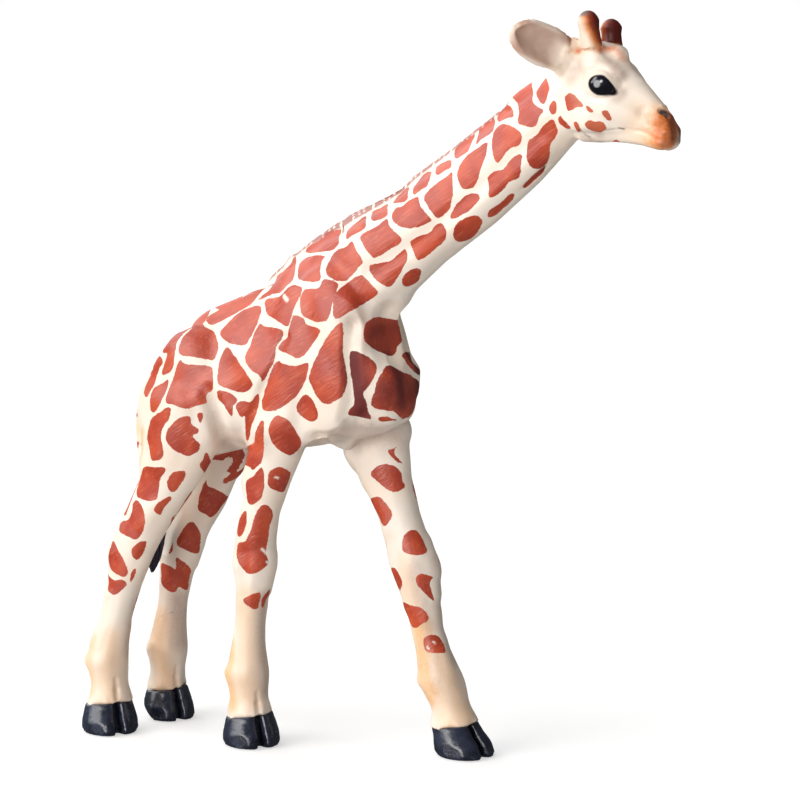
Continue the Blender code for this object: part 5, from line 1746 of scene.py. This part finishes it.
def make_eye(name, side, finish):
    deselect()
    bpy.ops.mesh.primitive_uv_sphere_add(segments=56, ring_count=28, radius=1.0)
    eye = bpy.context.object
    eye.name = name
    middle, ahead, up, out = eye_frame(side)
    points = points_of(eye)
    depth = np.where(points[:, 2] > 0, DOME_RISE, DOME_BACK)
    laid = (points[:, :1] * np.array(ahead) + points[:, 1:2] * np.array(up)) * DOME_REACH
    laid += points[:, 2:] * depth[:, None] * np.array(out) + np.array(middle)
    set_points(eye, laid)
    pick(eye)
    bpy.ops.object.mode_set(mode="EDIT")
    bpy.ops.mesh.select_all(action="SELECT")
    bpy.ops.mesh.normals_make_consistent(inside=False)
    bpy.ops.object.mode_set(mode="OBJECT")
    eye.data.materials.append(finish)
    eye.data.shade_smooth()
    return eye


eye_finish = eye_paint()
for side_name, side in SIDES:
    pieces["eye_" + side_name] = make_eye("eye_" + side_name + "_dome", side, eye_finish)
print("eyes made")

# %% [markdown]
# The hooves are cloven and glossy. Each starts as a copy of its casting, remeshed finely and smoothed,
# so that it stays in its place. Then the cleft is pressed in before and behind, the two toes swell
# beside it into beans, and the rims above and below are rounded. The far hind foot is about to leave
# the floor, so its heel is lifted.

# %% Hooves
HOOF_VOXEL = 0.3 * MM
HOOF_ROUNDS = 34
HOOF_STROKES = (
    # height and width in mm, then heights above the floor in mm with bearings from the toe in degrees
    (-0.80, 1.0, ((0.5, 0), (3.0, 0), (5.5, 0), (7.0, 0))),
    (-0.60, 1.1, ((0.5, 180), (3.0, 180), (6.0, 180))),
    (0.45, 3.0, ((3.2, 26), (3.4, 42))),
    (0.45, 3.0, ((3.2, 334), (3.4, 318))),
    (0.35, 3.4, ((3.6, 80), (3.6, 110))),
    (0.35, 3.4, ((3.6, 280), (3.6, 250))),
)
RIM_BELOW = 1.2 * MM
RIM_ABOVE = 5.4 * MM
RIM_ABOVE_REACH = 2.4 * MM
WALL_BULGE_HEIGHT = 4.0 * MM
SOLE_THICKNESS = 0.35 * MM
TOP_SLACK = np.array((0.0, 0.0, 0.3 * MM))
TOE_REACH = 4 * MM
LIFT_FROM = 2.5 * MM
LIFT_RUN = 8 * MM
HOOF_HEIGHT = 7.4 * MM
HEEL_LIFT = {"hind_left": 3.9 * MM}
SLIMMER = 0.91


def hoof_path(rows, leg, middle, tree):
    places = []
    for height, bearing in rows:
        turn = math.radians(bearing + TOE_TURNS[leg])
        outward = Vector((math.cos(turn), math.sin(turn), 0.0))
        start = Vector((middle.x, middle.y, height * MM))
        touch = tree.ray_cast(start + outward * 0.03, -outward)[0]
        places.append(touch if touch else tree.find_nearest(start + outward * 6 * MM)[0])
    return np.array(places)


def round_rims(points, middle):
    """Draws the foot of the wall and its top in towards the middle, so that the toes look like beans."""
    below = np.clip((RIM_BELOW - points[:, 2]) / RIM_BELOW, 0.0, 1.0)
    low = np.clip((WALL_BULGE_HEIGHT - points[:, 2]) / WALL_BULGE_HEIGHT, 0.0, 1.0)
    above = np.clip((points[:, 2] - RIM_ABOVE) / RIM_ABOVE_REACH, 0.0, 1.0)
    share = 1.0 + 0.09 * low - 0.08 * below**2 - 0.05 * above**2
    for axis in (0, 1):
        points[:, axis] = middle[axis] + (points[:, axis] - middle[axis]) * share


def slim_hoof(points, leg, middle):
    turn = math.radians(TOE_TURNS[leg])
    toe = np.array((middle.x + TOE_REACH * math.cos(turn), middle.y + TOE_REACH * math.sin(turn)))
    points[:, :2] = toe + (points[:, :2] - toe) * SLIMMER


def lift_heel(points, leg, middle):
    turn = math.radians(TOE_TURNS[leg])
    ahead = (points[:, 0] - middle.x) * math.cos(turn) + (points[:, 1] - middle.y) * math.sin(turn)
    lift = HEEL_LIFT[leg] * np.clip((LIFT_FROM - ahead) / LIFT_RUN, 0.0, 1.0)
    points[:, 2] = lift + points[:, 2] * (1.0 - lift / HOOF_HEIGHT)


def make_hoof(leg):
    hoof = copy_of(leg + "_hoof", leg + "_hoof_cast")
    apply_modifier(hoof, "REMESH", mode="VOXEL", voxel_size=HOOF_VOXEL)
    hoof = largest_shell(hoof)
    relax(hoof, HOOF_ROUNDS)
    low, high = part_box(leg + "_hoof")
    middle = (low + high) / 2
    tree = tree_of(hoof)
    points, normals = points_of(hoof), normals_of(hoof)
    shift = np.zeros(len(points))
    for height, width, rows in HOOF_STROKES:
        near, share = nearness(points, hoof_path(rows, leg, middle, tree), width * MM)
        shift[near] += share * height * MM
    points += normals * shift[:, None]
    round_rims(points, middle)
    points[:, 2] = np.where(points[:, 2] < SOLE_THICKNESS, 0.0, points[:, 2])
    points = np.clip(points, np.array(low), np.array(high) + TOP_SLACK)
    if leg in HEEL_LIFT:
        slim_hoof(points, leg, middle)
        lift_heel(points, leg, middle)
    set_points(hoof, points)
    hoof.data.materials.append(hoof_finish)
    hoof.data.shade_smooth()
    return hoof


def hoof_paint():
    made, n, shader = new_paint("hoof_gloss", 0.8)
    place = n.place()
    clouds = n.ramp(n.noise(place, 330.0, 3.0), 0.3, 0.72)
    slate = n.mix(clouds, linear(28, 32, 46), linear(46, 52, 70))
    # Paler blotches at random, in the colour of the hoof's sheen: a painted sheen.
    pale_and_sheen = n.math("MULTIPLY", n.ramp(n.noise(place, 900.0, 4.0), 0.60, 0.74), 0.35)
    n.tree.links.new(n.mix(pale_and_sheen, slate, linear(84, 92, 112)), shader.inputs["Base Color"])
    grained(n, shader, place, 0.24, 0.16, 0.5, 0.2 * MM)
    return made


hoof_finish = hoof_paint()
for name in LEG_NAMES:
    pieces[name + "_hoof"] = make_hoof(name)
print("hooves made")

# %% [markdown]
# The tail is a soft rope with cream paint, a few patch-red dabs and an orange shade, and its tuft is
# black hair in wet-looking locks. Both start from their castings. The tuft's surface is combed: it
# rises and falls round its axis, and the furrows wander as they go down. Its paint is darker in the
# furrows and paler on the crests of the locks: painted shade and painted sheen.

# %% Tail and tuft
TAIL_VOXEL = 0.3 * MM
TUFT_VOXEL = 0.22 * MM
TAIL_ROUNDS = 20
TUFT_ROUNDS = 12
LOCKS = 15
LOCK_RELIEF = 0.34 * MM
SPINE_LEVELS = np.linspace(0.05, 0.95, 10)
SPINE_REACH = 0.08
TAIL_DABS = ((84.0, 1.6), (78.5, 1.3), (71.0, 1.5), (65.0, 1.2))  # height and radius in mm
TAIL_SHADE_AT = 75 * MM
TAIL_SHADE_REACH = 6 * MM
TAIL_SHADE = 0.6


def make_tail():
    tail = copy_of("tail", "tail_rope")
    apply_modifier(tail, "REMESH", mode="VOXEL", voxel_size=TAIL_VOXEL)
    tail = largest_shell(tail)
    relax(tail, TAIL_ROUNDS)
    points = points_of(tail)
    coat = np.full(len(points), -COAT_MARGIN / MM)
    for height, radius in TAIL_DABS:
        middle = np.array((points[:, 0].min() + 1.4 * MM, -0.6 * MM, height * MM))
        gap = np.linalg.norm((points - middle) * np.array((1.0, 1.0, 0.75)), axis=1) / MM
        coat = np.maximum(coat, radius - gap)
    shade = np.clip(1.0 - np.abs(points[:, 2] - TAIL_SHADE_AT) / TAIL_SHADE_REACH, 0.0, 1.0)
    set_attribute(tail, "coat", coat)
    set_attribute(tail, "tan", shade * TAIL_SHADE)
    tail.data.materials.append(skin_finish)
    tail.data.shade_smooth()
    return tail


def make_tuft():
    tuft = copy_of("tail_tuft", "tuft_hair")
    apply_modifier(tuft, "REMESH", mode="VOXEL", voxel_size=TUFT_VOXEL)
    tuft = largest_shell(tuft)
    relax(tuft, TUFT_ROUNDS)
    points, normals = points_of(tuft), normals_of(tuft)
    low, high = points.min(axis=0), points.max(axis=0)
    fall = (high[2] - points[:, 2]) / (high[2] - low[2])
    spine = np.array([points[np.abs(fall - level) < SPINE_REACH].mean(axis=0) for level in SPINE_LEVELS])
    spine_x, spine_y = (np.interp(fall, SPINE_LEVELS, spine[:, axis]) for axis in (0, 1))
    turn = np.arctan2(points[:, 1] - spine_y, points[:, 0] - spine_x)
    wander = 0.7 * np.sin(fall * 5.0) + 0.5 * np.sin(3.0 * turn + fall * 7.0)
    comb = np.abs(np.sin((turn * LOCKS + wander * 2.0) / 2.0)) ** 0.7
    side = np.clip(1.0 - np.abs(normals[:, 2]) ** 3, 0.0, 1.0)
    points += normals * ((comb - 0.75) * LOCK_RELIEF * side)[:, None]
    set_points(tuft, points)
    set_attribute(tuft, "comb", comb)
    tuft.data.materials.append(tuft_paint())
    tuft.data.shade_smooth()
    return tuft


def tuft_paint():
    made, n, shader = new_paint("tuft_paint", 0.5)
    place = n.place()
    # Darker in the furrows and paler on the crests of the locks: painted shade and painted sheen.
    colour = n.mix(n.ramp(n.attribute("comb"), 0.2, 1.0), linear(14, 14, 22), linear(50, 52, 74))
    n.tree.links.new(colour, shader.inputs["Base Color"])
    grained(n, shader, place, 0.36, 0.2, 0.5, 0.2 * MM)
    return made


pieces["tail"] = make_tail()
pieces["tail_tuft"] = make_tuft()
print("tail and tuft made")

# %% [markdown]
# Last, the points of each piece are kept inside the box of the castings, and each piece says which
# casting it stands for and which body it rides on. The toy has no moving joint, so everything rides
# on the root.

# %% Finish
CORNER = math.radians(42.0)
box_low, box_high = np.array(cad_box[0]), np.array(cad_box[1])
for name, piece in pieces.items():
    pick(piece)
    bpy.ops.object.shade_smooth_by_angle(angle=CORNER)
    set_points(piece, np.clip(points_of(piece), box_low, box_high))
    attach(piece, "root")
    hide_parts(name)
